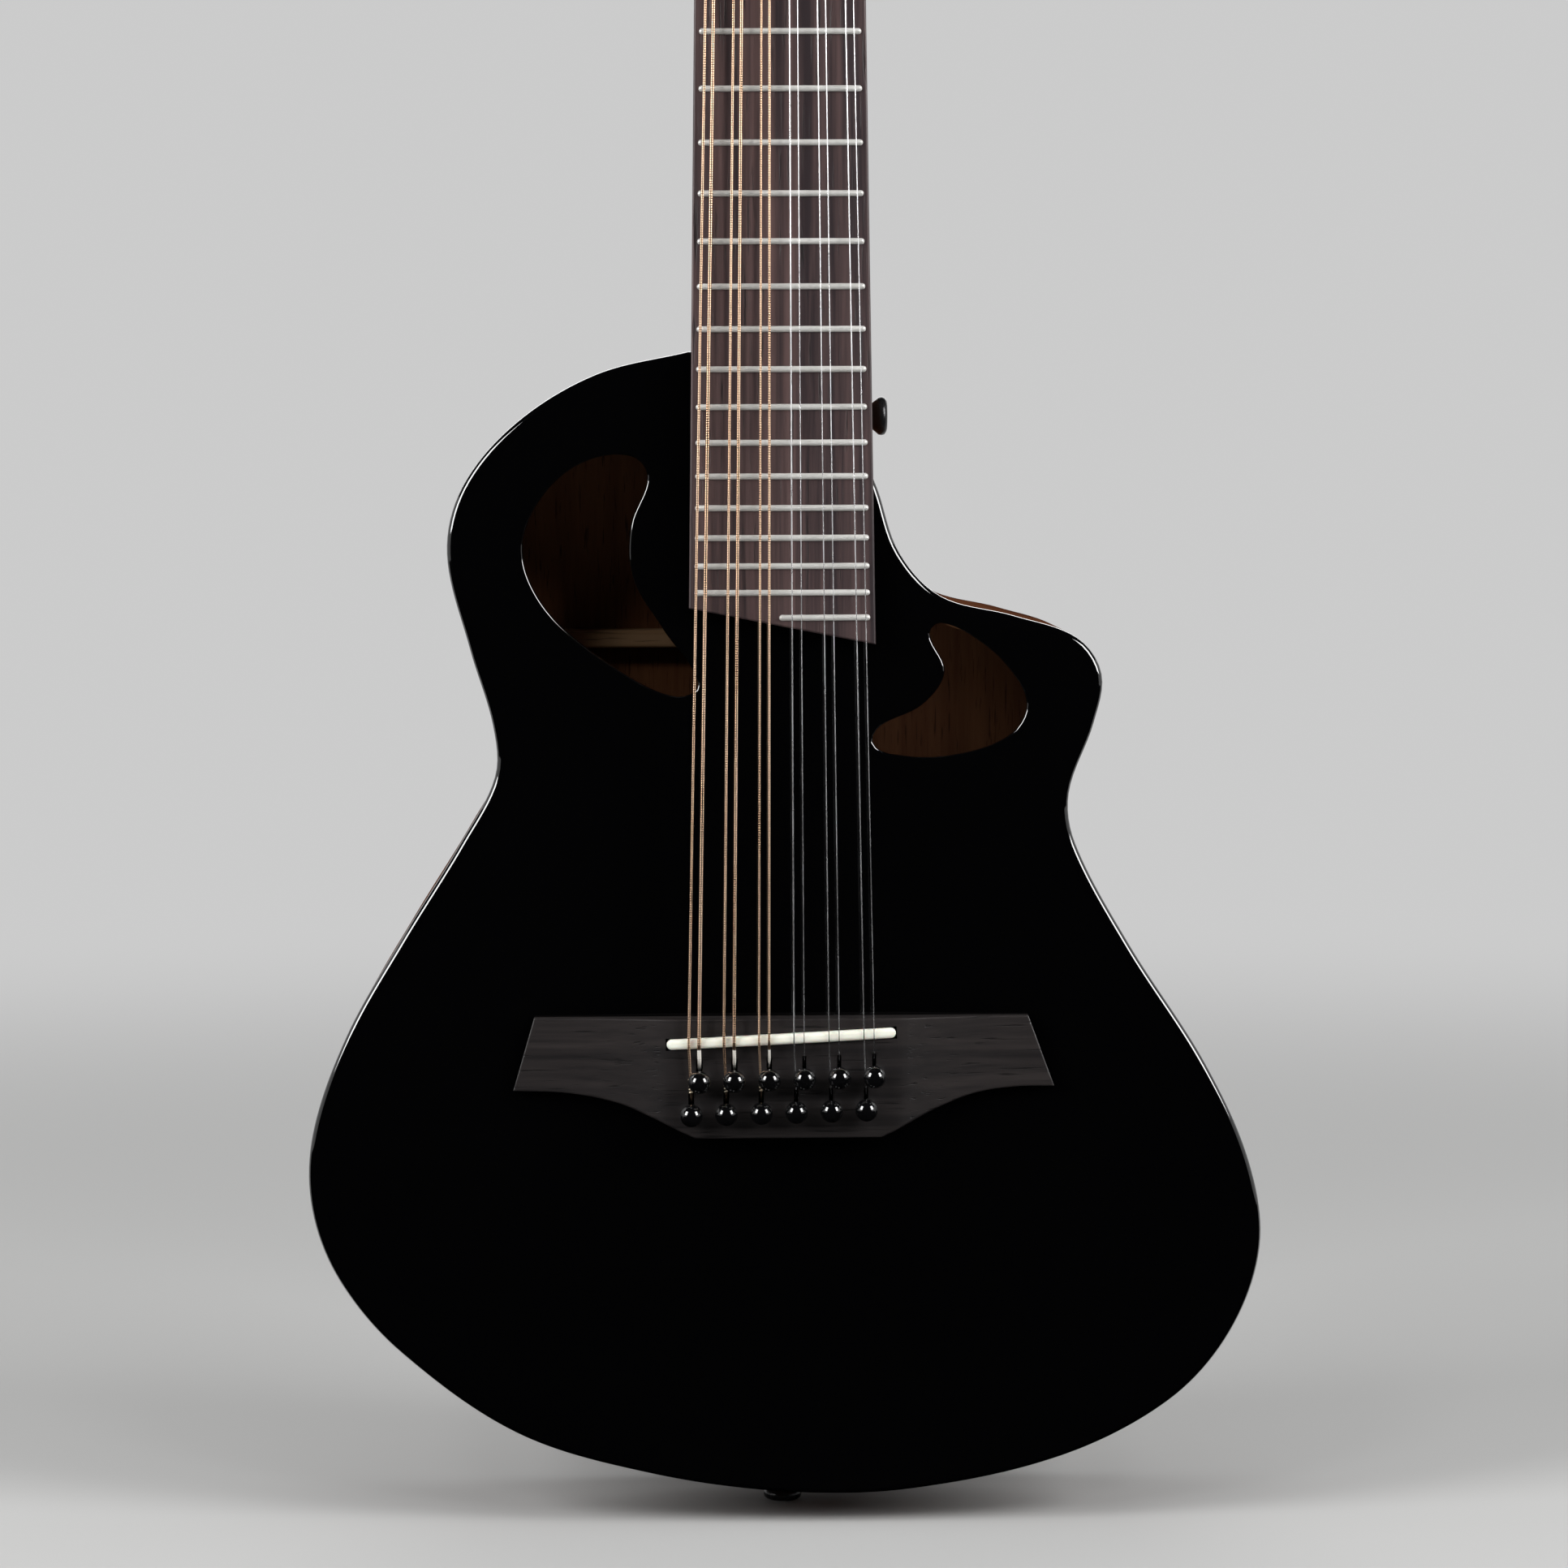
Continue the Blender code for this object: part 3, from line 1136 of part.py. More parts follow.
def winding(index, from_point):
    """Turns of a string on its post, from where it first touches to the hole's mouth."""
    side, u, v = post_place(index)
    diameter = STRING_DIAMETERS[index]
    radius = POST_WAIST_RADIUS + GAP + diameter / 2
    rise = WINDING_TURNS * (diameter + WINDING_SPACE)
    low = POST_HOLE_HEIGHT - rise
    reach = Vector((from_point.x - u, from_point.y - v))
    bearing = atan2(reach.y, reach.x)
    opening = sqrt(max(reach.length**2 - radius**2, 0.0))
    first = bearing - side * atan2(opening, radius)
    steps = round(WINDING_TURNS * WINDING_STEPS)
    points = []
    for i in range(steps + 1):
        angle = first - side * 2 * pi * i / WINDING_STEPS
        spot = (u + radius * cos(angle), v + radius * sin(angle), low + rise * i / steps)
        points.append(Vector(spot))
    return points


def least_gap(points, diameter):
    """Least clear distance between turns, from points at least half a turn apart."""
    nearest = min((a - b).length for i, a in enumerate(points)
                  for b in points[i + WINDING_STEPS // 2:])
    return nearest - diameter


def string_route(index):
    """Points from the ball end, up through the bridge, over saddle and nut, to the post."""
    diameter = STRING_DIAMETERS[index]
    radius = diameter / 2
    pin_x, pin_z = pin_place(index)
    drop_z = pin_z + PIN_TO_STRING
    ball_y = PLATE_BACK_Y + GAP
    over_y = BRIDGE_TOP_Y - GAP - radius
    x0, x1 = saddle_x(index), nut_x(index)
    ridge = saddle_centre_z(x0)
    saddle_y = string_foot_at_saddle(x0) - radius
    nut_y = string_foot_at_nut(x1) - radius
    route = [(pin_x, ball_y + BALL_END_LENGTH, drop_z), (pin_x, ball_y + GAP, drop_z),
             (pin_x, ball_y, drop_z), (pin_x, BRIDGE_TOP_Y + BEND_DEPTH, drop_z),
             (pin_x, over_y, pin_z + NOTCH_REACH),
             (x0, saddle_y, ridge - CREST_HALF), (x0, saddle_y, ridge + CREST_HALF),
             (x1, nut_y, NUT_Z + GAP), (x1, nut_y, NUT_Z + NUT_THICKNESS)]
    points = [Vector(spot) for spot in route]
    head = head_matrix()
    turns = winding(index, head.inverted() @ points[-1])
    return points, [head @ point for point in turns], least_gap(turns, diameter)


def make_strings():
    gaps = []
    for index, diameter in enumerate(STRING_DIAMETERS):
        run, turns, gap = string_route(index)
        gaps.append(gap)
        points = run + turns
        swell = BALL_END_RADIUS / (diameter / 2)
        scales = [swell, swell] + [1.0] * (len(points) - 2)
        string = tube(f"string_{index + 1:02d}", points, diameter / 2, 1, scales)
        keep(string, bronze_string() if index < COURSES else steel_string())
    print(f"least gap between turns of a string: {min(gaps) * 1000:.2f} mm")


def main():
    clear_scene()
    make_soundboard()
    make_back()
    make_rim()
    make_neck()
    make_fretboard()
    make_nut()
    make_bridge()
    make_saddle()
    make_pins()
    make_strap_buttons()
    make_tuner_plate(-1, "tuner_plate_bass")
    make_tuner_plate(1, "tuner_plate_treble")
    make_tuners()
    make_strings()


main()
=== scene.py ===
from math import atan, atan2, cos, hypot, pi, radians, sin, sqrt

import bmesh
import bpy
from mathutils import Matrix, Vector


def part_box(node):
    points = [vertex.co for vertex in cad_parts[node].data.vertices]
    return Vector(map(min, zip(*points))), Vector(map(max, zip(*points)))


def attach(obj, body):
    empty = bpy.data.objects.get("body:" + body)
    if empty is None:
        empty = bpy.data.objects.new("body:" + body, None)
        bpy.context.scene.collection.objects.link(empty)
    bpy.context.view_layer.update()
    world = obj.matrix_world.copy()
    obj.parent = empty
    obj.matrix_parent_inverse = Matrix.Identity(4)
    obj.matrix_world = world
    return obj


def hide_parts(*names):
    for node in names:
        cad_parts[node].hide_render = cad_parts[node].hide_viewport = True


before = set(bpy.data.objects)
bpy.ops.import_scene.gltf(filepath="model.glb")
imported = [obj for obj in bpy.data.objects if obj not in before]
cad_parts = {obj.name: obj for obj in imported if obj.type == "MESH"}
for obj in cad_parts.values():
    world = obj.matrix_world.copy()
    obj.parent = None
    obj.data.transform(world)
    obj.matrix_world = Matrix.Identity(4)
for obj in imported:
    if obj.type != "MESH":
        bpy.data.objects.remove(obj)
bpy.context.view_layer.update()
print("frame loaded,", len(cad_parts), "nodes")

# Places that many pieces share

gap = 0.0003  # between fixed pieces that touch
scaleLength, nutThick, boardThick = 0.470, 0.0045, 0.006
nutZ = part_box("nut")[0].z - gap / 2
saddleZ = nutZ - scaleLength
frontY = -0.039  # face of the soundboard
boardTopY = frontY - boardThick  # fretboard's surface on its centre line
stringSizes = (0.0009, 0.0012, 0.00085, 0.00105, 0.0007, 0.0008,
               0.00045, 0.0003, 0.00035, 0.00033, 0.0004, 0.0003)
stringCount = len(stringSizes)
perSide = stringCount // 2  # tuners on each side of the head
faceFront = Matrix.Rotation(pi / 2, 4, "X")  # local x, y, z stand as world x, z, -y
alongX = Matrix.Rotation(pi / 2, 4, "Y")  # local z lies along x
mirroredX = Matrix.Scale(-1, 4, (1, 0, 0))


# Shader maths: a Wire is an output that can stand in a sum

def mathNode(operation, flipped=False):
    def made(self, other):
        first, second = (other, self) if flipped else (self, other)
        return self.nodes.node("ShaderNodeMath", {"operation": operation}, {0: first, 1: second})
    return made


class Wire:
    __add__, __mul__, __lt__ = mathNode("ADD"), mathNode("MULTIPLY"), mathNode("LESS_THAN")
    __sub__, __rsub__ = mathNode("SUBTRACT"), mathNode("SUBTRACT", flipped=True)

    def __init__(self, nodes, socket):
        self.nodes, self.socket = nodes, socket


class Nodes:  # a tree of nodes, and the one way to add to it
    def __init__(self, tree):
        self.tree = tree

    def node(self, kind, settings, sockets, output=0):
        made = self.tree.nodes.new(kind)
        for key, value in settings.items():
            setattr(made, key, value)
        for key, value in sockets.items():
            self.feed(made.inputs[key], value)
        return Wire(self, made.outputs[output])

    def feed(self, socket, value):
        if isinstance(value, Wire):
            self.tree.links.new(value.socket, socket)
        else:
            socket.default_value = value

    def seen(self):  # 1 for camera, glossy and transmission rays, else 0
        total = 0.0
        for name in ("Is Camera Ray", "Is Glossy Ray", "Is Transmission Ray"):
            ray = self.node("ShaderNodeLightPath", {}, {}, name)
            total = self.node("ShaderNodeMath", {"operation": "ADD", "use_clamp": True}, {0: total, 1: ray})
        return total


class Finish(Nodes):
    def __init__(self, name, slot, **constants):
        self.slot = slot
        self.material = bpy.data.materials.new(name)
        self.material.use_nodes = True
        super().__init__(self.material.node_tree)
        self.shader = self.tree.nodes["Principled BSDF"]
        self.shade(**constants)

    def shade(self, **sockets):  # the shader's own sockets, Base_Color and so on
        for key, value in sockets.items():
            self.feed(self.shader.inputs[key.replace("_", " ")], value)
        return self

    def place(self, scale=(1, 1, 1)):
        spot = self.node("ShaderNodeTexCoord", {}, {}, "Object")
        return self.node("ShaderNodeMapping", {}, {"Vector": spot, "Scale": scale})

    def noise(self, scale, detail=4.0, rough=0.55, distortion=0.0):
        return self.node("ShaderNodeTexNoise", {},
                         {"Vector": self.place(scale), "Scale": 1.0, "Detail": detail,
                          "Roughness": rough, "Distortion": distortion})

    def span(self, value, low, high, toLow=0.0, toHigh=1.0):
        return self.node("ShaderNodeMapRange", {},
                         {"Value": value, "From Min": low, "From Max": high,
                          "To Min": toLow, "To Max": toHigh})

    def even(self, noise, toLow=0.0, toHigh=1.0):  # noise lies mostly between 0.3 and 0.7
        return self.span(noise, 0.3, 0.7, toLow, toHigh)

    def mix(self, factor, first, second):
        colors = [c if isinstance(c, Wire) else (*c, 1.0) for c in (first, second)]
        return self.node("ShaderNodeMix", {"data_type": "RGBA"}, {0: factor, 6: colors[0], 7: colors[1]}, 2)

    def bump(self, height, strength, depth):
        return self.node("ShaderNodeBump", {}, {"Height": height, "Strength": strength, "Distance": depth})

    def height(self):  # world z, at rest
        return self.node("ShaderNodeSeparateXYZ", {}, {0: self.place()}, "Z")


# Finishes

def lacquer():
    made = Finish("black_lacquer_gloss", "black_lacquer", Coat_Weight=1.0, Coat_Roughness=0.03)
    cloud, peel = made.noise((9, 9, 9), 3.0), made.noise((260, 260, 260), 2.0)
    return made.shade(Base_Color=made.mix(cloud, (0.0006, 0.0006, 0.0007), (0.0009, 0.0009, 0.00105)),
                      Roughness=made.even(cloud, 0.045, 0.075),
                      Normal=made.bump(peel, 0.03, 0.0002))


grain = {"bands": (55, 2.2), "fibre": (420, 11), "poreLength": 20, "bandShare": 0.62, "fibreShare": 0.38,
         "poreShare": 0.75, "poreDark": 0.30, "depth": 0.00015}


def wood(name, slot, dark, light, roughness, along="Z", poreDepth=0.25, streak=1.0, pore=1500,
         span=(0.34, 0.66), **constants):
    made = Finish(name, slot, **constants)

    def stretched(across, length):  # fine across the grain, long along it
        return (length, across, across) if along == "X" else (across, across, length)

    bands = made.noise(stretched(grain["bands"][0] * streak, grain["bands"][1]), 5.0, 0.6, 0.9)
    fibre = made.noise(stretched(*grain["fibre"]), 5.0, 0.65, 0.3)
    pores = made.span(made.noise(stretched(pore, pore / grain["poreLength"]), 3.0, 0.5), 0.60, 0.70)
    body = made.span(bands * grain["bandShare"] + fibre * grain["fibreShare"], *span)
    color = made.mix(pores * grain["poreShare"], made.mix(body, dark, light),
                     tuple(c * grain["poreDark"] for c in dark))
    return made.shade(Base_Color=color,
                      Roughness=made.span(body, 0.0, 1.0, roughness + 0.05, roughness - 0.04),
                      Normal=made.bump(fibre * 0.3 - pores, poreDepth, grain["depth"]))


def bone():
    made = Finish("aged_bone", "bone", Subsurface_Weight=0.15, Subsurface_Scale=0.004)
    cloud, grain = made.noise((60, 60, 60)), made.noise((900, 900, 160), 3.0)
    return made.shade(Base_Color=made.mix(made.even(cloud), (0.70, 0.69, 0.59), (0.80, 0.80, 0.71)),
                      Roughness=made.even(grain, 0.30, 0.42), Normal=made.bump(grain, 0.08, 0.0001))


def plastic():
    made = Finish("gloss_black_pin", "gloss_black_plastic", Coat_Weight=1.0, Coat_Roughness=0.02,
                  Coat_IOR=1.7, Specular_IOR_Level=0.2)
    cloud = made.noise((300, 300, 300), 2.0)
    return made.shade(Base_Color=made.mix(cloud, (0.0015, 0.0015, 0.0015), (0.003, 0.003, 0.0035)),
                      Roughness=made.even(cloud, 0.04, 0.10))


def metal(name, slot, dark, light, roughness, scratch=(220, 220, 40), metallic=1.0):
    made = Finish(name, slot, Metallic=metallic)
    cloud, lines = made.noise((70, 70, 70), 3.0), made.noise(scratch, 4.0, 0.6)
    return made.shade(Base_Color=made.mix(made.even(cloud), dark, light),
                      Roughness=made.even(lines, roughness * 0.7, roughness * 1.3),
                      Normal=made.bump(lines, 0.05, 0.00005))


def woundString(name, paintedHighlightBelow=0.0):  # bronze wire wound on a core, with a painted highlight near its ball end if asked
    made = Finish(name, "bronze_string", Metallic=1.0)
    turns = made.node("ShaderNodeTexWave", {"bands_direction": "Z"},
                      {"Vector": made.place(), "Scale": 420.0, "Distortion": 0.0, "Detail": 0.0}, 1)
    tarnish = made.even(made.noise((300, 300, 14)))
    color = made.mix(tarnish, (0.56, 0.36, 0.24), (0.76, 0.55, 0.39))
    color = made.mix(turns * 0.25, color, (0.30, 0.16, 0.09))
    rough = made.span(tarnish, 0.0, 1.0, 0.24, 0.36)
    if paintedHighlightBelow:  # painted highlight: the end between the saddle and the pin is made paler, rougher and less metallic
        end = made.height() < paintedHighlightBelow
        color, rough = made.mix(end, color, (0.95, 0.91, 0.84)), rough + end * 0.3
        made.shade(Metallic=1.0 - end * 0.6)
    return made.shade(Base_Color=color, Roughness=rough, Normal=made.bump(turns, 0.4, 0.00012))


finishes = {
    "topLacquer": lacquer(),
    "mahogany": wood("mahogany_satin", "mahogany", (0.048, 0.017, 0.009), (0.120, 0.044, 0.020), 0.66,
                     Specular_IOR_Level=0.0),
    "neckWood": wood("mahogany_neck", "mahogany", (0.070, 0.025, 0.012), (0.160, 0.060, 0.028), 0.42,
                     Specular_IOR_Level=0.3),
    "insideWood": wood("mahogany_inside", "mahogany", (0.105, 0.040, 0.018), (0.21, 0.091, 0.040), 0.70,
                       poreDepth=0.4, Specular_IOR_Level=0.15),
    "spruce": wood("brace_spruce", "mahogany", (0.34, 0.20, 0.10), (0.54, 0.35, 0.20), 0.60,
                   along="X", streak=3.0, poreDepth=0.12),
    "rosewood": wood("fretboard_rosewood", "rosewood", (0.022, 0.014, 0.016), (0.104, 0.064, 0.061), 0.42,
                     poreDepth=0.5, streak=1.8, pore=900, span=(0.41, 0.60)),
    "bridgeWood": wood("bridge_wood", "dark_bridge_wood", (0.008, 0.0067, 0.0070), (0.026, 0.0217, 0.0210),
                       0.36, along="X", poreDepth=0.4, streak=2.6, pore=1000, span=(0.38, 0.64)),
    "bone": bone(),
    "pinPlastic": plastic(),
    "blackMetal": metal("strap_button_black", "black_metal", (0.012, 0.012, 0.013), (0.030, 0.030, 0.032),
                        0.28, metallic=0.6),
    "chrome": metal("polished_chrome", "chrome", (0.56, 0.56, 0.575), (0.70, 0.70, 0.71), 0.16),
    "fretWire": metal("nickel_silver", "steel_string", (0.62, 0.61, 0.58), (0.76, 0.75, 0.72), 0.28,
                      (30, 900, 900), metallic=0.35),
    "steelString": metal("plain_steel", "steel_string", (0.62, 0.62, 0.63), (0.78, 0.78, 0.79), 0.26),
    "woundString": woundString("wound_bronze"),
    # painted highlight: paler end below the saddle, for the strings to the upper pins
    "woundSilverEnd": woundString("wound_bronze_painted_highlight_end", saddleZ - 0.0035),
    "twistWire": metal("twist_brass", "bronze_string", (0.85, 0.70, 0.46), (0.98, 0.88, 0.68), 0.32,
                       metallic=0.5),
}
print("finishes made:", len(finishes))


# Lines and rings

def lineThrough(points, step, closed=False):  # smooth line through knots, in chords of about a step
    knots = [Vector(point) for point in points]
    last = len(knots) - 1

    def heading(i):
        if closed:
            return (knots[(i + 1) % len(knots)] - knots[i - 1]).normalized()
        return (knots[min(i + 1, last)] - knots[max(i - 1, 0)]).normalized()

    line = []
    for i in range(len(knots) if closed else last):
        start, end = knots[i], knots[(i + 1) % len(knots)]
        reach = (end - start).length
        leave, arrive = heading(i) * reach, heading((i + 1) % len(knots)) * reach
        count = max(1, round(reach / step))
        for k in range(count):
            s = k / count
            line.append((2 * s**3 - 3 * s**2 + 1) * start + (s**3 - 2 * s**2 + s) * leave
                        + (3 * s**2 - 2 * s**3) * end + (s**3 - s**2) * arrive)
    if not closed:
        line.append(knots[-1])
    return line


def movedIn(points, distance):  # closed outline, moved inwards by an even distance
    area = sum(a[0] * b[1] - b[0] * a[1] for a, b in zip(points, points[1:] + points[:1]))
    side = 1.0 if area > 0 else -1.0
    moved = []
    for before, here, after in zip(points[-1:] + points[:-1], points, points[1:] + points[:1]):
        normals = []
        for a, b in ((before, here), (here, after)):
            run = hypot(b[0] - a[0], b[1] - a[1])
            normals.append(Vector((-(b[1] - a[1]) / run, (b[0] - a[0]) / run)) * side)
        step = (normals[0] + normals[1]) * (distance / (1 + normals[0].dot(normals[1])))
        moved.append(Vector((here[0] + step.x, here[1] + step.y)))
    return moved


def smooth(share):  # from 0 to 1, level at both ends
    return share * share * (3 - 2 * share)


def signedPower(value, power):
    return abs(value) ** power * (1 if value > 0 else -1)


def arc(x, y, radius, begin, sweep, steps):  # points round a centre, in degrees
    angles = [radians(begin + sweep * k / steps) for k in range(steps + 1)]
    return [Vector((x + radius * cos(angle), y + radius * sin(angle))) for angle in angles]


def shifted(x, y, z):
    return Matrix.Translation((x, y, z))


def stood(bm, y):  # a flat plate turned to the front, its foot at y
    bm.transform(shifted(0, y, 0) @ faceFront)


def ring(bm, points):  # closed loop of edges
    corners = [bm.verts.new(point) for point in points]
    return [bm.edges.new(pair) for pair in zip(corners, corners[1:] + corners[:1])]


def loft(rings, around=False):  # skin over rings of equally many points
    bm = bmesh.new()
    loops = [ring(bm, points) for points in rings]
    for near, far in list(zip(loops, loops[1:])) + ([(loops[-1], loops[0])] if around else []):
        bmesh.ops.bridge_loops(bm, edges=near + far)
    for loop in () if around else (loops[0], loops[-1]):
        bmesh.ops.contextual_create(bm, geom=loop)
    return bm


def quarter(radius, low, up, steps):  # (distance in, height) round an edge
    angles = [pi / 2 * i / steps for i in range(steps + 1)]
    return [(radius * (1 - cos(a)), low + up * (radius * sin(a) - radius)) for a in angles]


def roundedPlate(loops, low, high, topRounds, footRound=0.0, steps=5):
    # flat plate from height low to high with rounded edges; later loops are holes
    bm = bmesh.new()
    tops, feet = [], []
    for number, (points, radius) in enumerate(zip(loops, topRounds)):
        sign = -1.0 if number else 1.0
        profile = quarter(footRound, low, -1, steps)[::-1] if footRound else [(0.0, low)]
        profile += quarter(radius, high, 1, steps) if radius else [(0.0, high)]
        rings = [ring(bm, [(p[0], p[1], h) for p in movedIn(points, sign * d)]) for d, h in profile]
        for near, far in zip(rings, rings[1:]):
            bmesh.ops.bridge_loops(bm, edges=near + far)
        feet += rings[0]
        tops += rings[-1]
    for edges in (tops, feet):
        bmesh.ops.triangle_fill(bm, use_beauty=True, use_dissolve=False, edges=edges)
    return bm


def extruded(points, run):  # closed outline drawn out into a solid, and its far end
    bm = bmesh.new()
    face = bmesh.ops.contextual_create(bm, geom=ring(bm, points))["faces"]
    grown = bmesh.ops.extrude_face_region(bm, geom=face)["geom"]
    far = [v for v in grown if isinstance(v, bmesh.types.BMVert)]
    bmesh.ops.translate(bm, verts=far, vec=run)
    return bm, far


def sliced(bm, axis, low, high, step):  # cut right through at even places, for bending
    normal = Vector([1.0 if i == axis else 0.0 for i in range(3)])
    count = max(1, round((high - low) / step))
    for i in range(1, count):
        bmesh.ops.bisect_plane(bm, geom=bm.verts[:] + bm.edges[:] + bm.faces[:], dist=1e-7,
                               plane_co=normal * (low + (high - low) * i / count), plane_no=normal)


def addBar(bm, radius, depth, place, segments, farRadius=None):
    bmesh.ops.create_cone(bm, cap_ends=True, segments=segments, radius1=radius, radius2=farRadius or radius,
                          depth=depth, matrix=place)


def addBox(bm, size, place):
    bmesh.ops.create_cube(bm, size=1.0, matrix=place @ Matrix.Diagonal((*size, 1.0)))


def facedOut(bm, reach=1e-7):  # doubles merged, normals outwards and up to date
    bmesh.ops.remove_doubles(bm, verts=bm.verts, dist=reach)
    bmesh.ops.recalc_face_normals(bm, faces=bm.faces)
    bm.normal_update()
    return bm


def spun(profile, steps=48, matrix=None):  # (radius, height) turned about local z
    bm = bmesh.new()
    corners = [bm.verts.new((radius, 0.0, height)) for radius, height in profile]
    edges = [bm.edges.new(pair) for pair in zip(corners, corners[1:])]
    bmesh.ops.spin(bm, geom=corners + edges, axis=(0, 0, 1), angle=2 * pi, steps=steps, use_merge=True)
    facedOut(bm, 1e-6)
    if matrix:
        bm.transform(matrix)
    return bm


def asMesh(bm, name="part"):
    mesh = bpy.data.meshes.new(name)
    bm.to_mesh(mesh)
    bm.free()
    return mesh


def linked(name, data):
    made = bpy.data.objects.new(name, data)
    bpy.context.scene.collection.objects.link(made)
    return made


def evaluated(made):  # an object's shape with its modifiers or its bevel
    mesh = bpy.data.meshes.new_from_object(made.evaluated_get(bpy.context.evaluated_depsgraph_get()))
    bm = bmesh.new()
    bm.from_mesh(mesh)
    bpy.data.meshes.remove(mesh)
    return bm


def joined(*parts):  # several shapes as one, each left closed
    whole = bmesh.new()
    for part in parts:
        bmesh.ops.recalc_face_normals(part, faces=part.faces)
        mesh = asMesh(part)
        whole.from_mesh(mesh)
        bpy.data.meshes.remove(mesh)
    return whole


def cutWith(bm, cutter):  # takes one closed shape out of another
    pair = [linked("cut", asMesh(facedOut(shape))) for shape in (bm, cutter)]
    modifier = pair[0].modifiers.new("cut", "BOOLEAN")
    modifier.operation, modifier.solver, modifier.object = "DIFFERENCE", "EXACT", pair[1]
    cut = evaluated(pair[0])
    for spent in pair:
        bpy.data.meshes.remove(spent.data)
    return cut


def wire(points, radius, sides, scales=None):  # round wire along a line
    curve = bpy.data.curves.new("wire", "CURVE")
    curve.dimensions = "3D"
    curve.bevel_depth = radius
    curve.bevel_resolution = sides // 2 - 2
    curve.use_fill_caps = True
    spline = curve.splines.new("POLY")
    spline.points.add(len(points) - 1)
    for spot, point, scale in zip(spline.points, points, scales or [1.0] * len(points)):
        spot.co, spot.radius = (*point, 1.0), scale
    bm = evaluated(linked("wire", curve))
    bpy.data.curves.remove(curve)
    bmesh.ops.remove_doubles(bm, verts=bm.verts, dist=1e-6)
    return bm


def makePiece(name, bm, coats, nodes=(), body="guitar", bend=30, weighted=False):
    # makes the shape a piece of the model, smooth below the bend angle and riding on a body
    for face in facedOut(bm).faces:
        face.smooth = True
    for edge in bm.edges:
        edge.smooth = edge.calc_face_angle(0.0) < radians(bend)
    piece = linked(name, asMesh(bm, name))
    coats = [finishes[coat] for coat in ([coats] if isinstance(coats, str) else coats)]
    for coat in coats:
        piece.data.materials.append(coat.material)
    if weighted:
        normals = piece.modifiers.new("normals", "WEIGHTED_NORMAL")
        normals.keep_sharp, normals.weight = True, 70
    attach(piece, body)
    if nodes:
        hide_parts(*nodes)
    return piece


def label(index):  # a string's number in names
    return f"{index + 1:02d}"


# Body

bodyShape = {
    "outline": (  # (x, z) from the saddle line, round from the neck
        (-0.029, 0.215), (-0.058, 0.208), (-0.083, 0.193), (-0.100, 0.173), (-0.105, 0.152),
        (-0.098, 0.122), (-0.091, 0.098), (-0.0905, 0.082), (-0.1015, 0.061), (-0.1205, 0.0305),
        (-0.138, 0.0), (-0.149, -0.031), (-0.1495, -0.055), (-0.141, -0.078), (-0.122, -0.101),
        (-0.085, -0.1275), (-0.043, -0.1407), (0.0, -0.147), (0.040, -0.1464), (0.088, -0.1362),
        (0.1225, -0.1185), (0.142, -0.0965), (0.1515, -0.069), (0.148, -0.042), (0.134, -0.0105),
        (0.1095, 0.028), (0.0925, 0.060), (0.0905, 0.076), (0.0983, 0.098), (0.1008, 0.1135),
        (0.093, 0.125), (0.073, 0.132), (0.050, 0.1382), (0.037, 0.152), (0.0302, 0.172),
        (0.026, 0.182), (0.024, 0.189), (0.024, 0.215)),
    "bassHole": (
        (-0.042, 0.176), (-0.047, 0.1824), (-0.061, 0.181), (-0.073, 0.1723), (-0.0807, 0.158),
        (-0.0795, 0.1445), (-0.070, 0.130), (-0.0495, 0.1142), (-0.033, 0.107), (-0.0264, 0.111),
        (-0.0375, 0.1285), (-0.0468, 0.1445), (-0.0472, 0.161)),
    "trebleHole": (
        (0.0465, 0.1265), (0.050, 0.1298), (0.0605, 0.1252), (0.0714, 0.1155), (0.077, 0.104),
        (0.071, 0.094), (0.052, 0.088), (0.0335, 0.0888), (0.0285, 0.0925), (0.031, 0.0975),
        (0.044, 0.104), (0.0512, 0.1145)),
    "shoulder": 0.215, "depth": 0.081, "archRadius": 3.0, "crown": 0.010, "holeStep": 0.0018, "heelX": 0.024,
    "top": 0.0028, "back": 0.0028, "side": 0.0024, "step": 0.0028, "backStep": 0.014,
    "edgeRound": 0.0020, "holeRound": 0.0009, "backRound": 0.0016,
    "topBraces": (((-0.084, 0.0735), (0.082, 0.0735)), ((-0.038, 0.066), (0.114, -0.080)),
                  ((0.038, 0.066), (-0.114, -0.080)), ((-0.078, -0.052), (0.040, -0.112))),
    "backBraces": (((-0.093, 0.1225), (0.044, 0.1225)), ((-0.105, 0.030), (0.100, 0.030)),
                   ((-0.136, -0.060), (0.138, -0.060))),
}
topBackY = frontY + bodyShape["top"]


def lifted(points):  # from the saddle line to world height
    return [Vector((p[0], p[1] + saddleZ)) for p in points]


def bodyOutline(step):
    return lifted(lineThrough(bodyShape["outline"], step))


def backY(x, z):  # outer face of the arched back
    rise = (x**2 + (z - saddleZ - bodyShape["crown"])**2) / (2 * bodyShape["archRadius"])
    return frontY + bodyShape["depth"] - rise


def makeSoundboard():
    shape = bodyShape
    holes = [lifted(lineThrough(shape[name], shape["holeStep"], closed=True))
             for name in ("bassHole", "trebleHole")]
    bm = roundedPlate([bodyOutline(shape["step"]), *holes], 0.0, shape["top"],
                      (shape["edgeRound"], shape["holeRound"], shape["holeRound"]), steps=6)
    stood(bm, topBackY)
    for face in facedOut(bm).faces:
        face.material_index = 1 if face.normal.y > 0.9 else 0
    makePiece("soundboard_plate", bm, ["topLacquer", "insideWood"], ["soundboard"], weighted=True)
    makeBraces("top_brace", shape["topBraces"], lambda x, z: topBackY, -1.0)


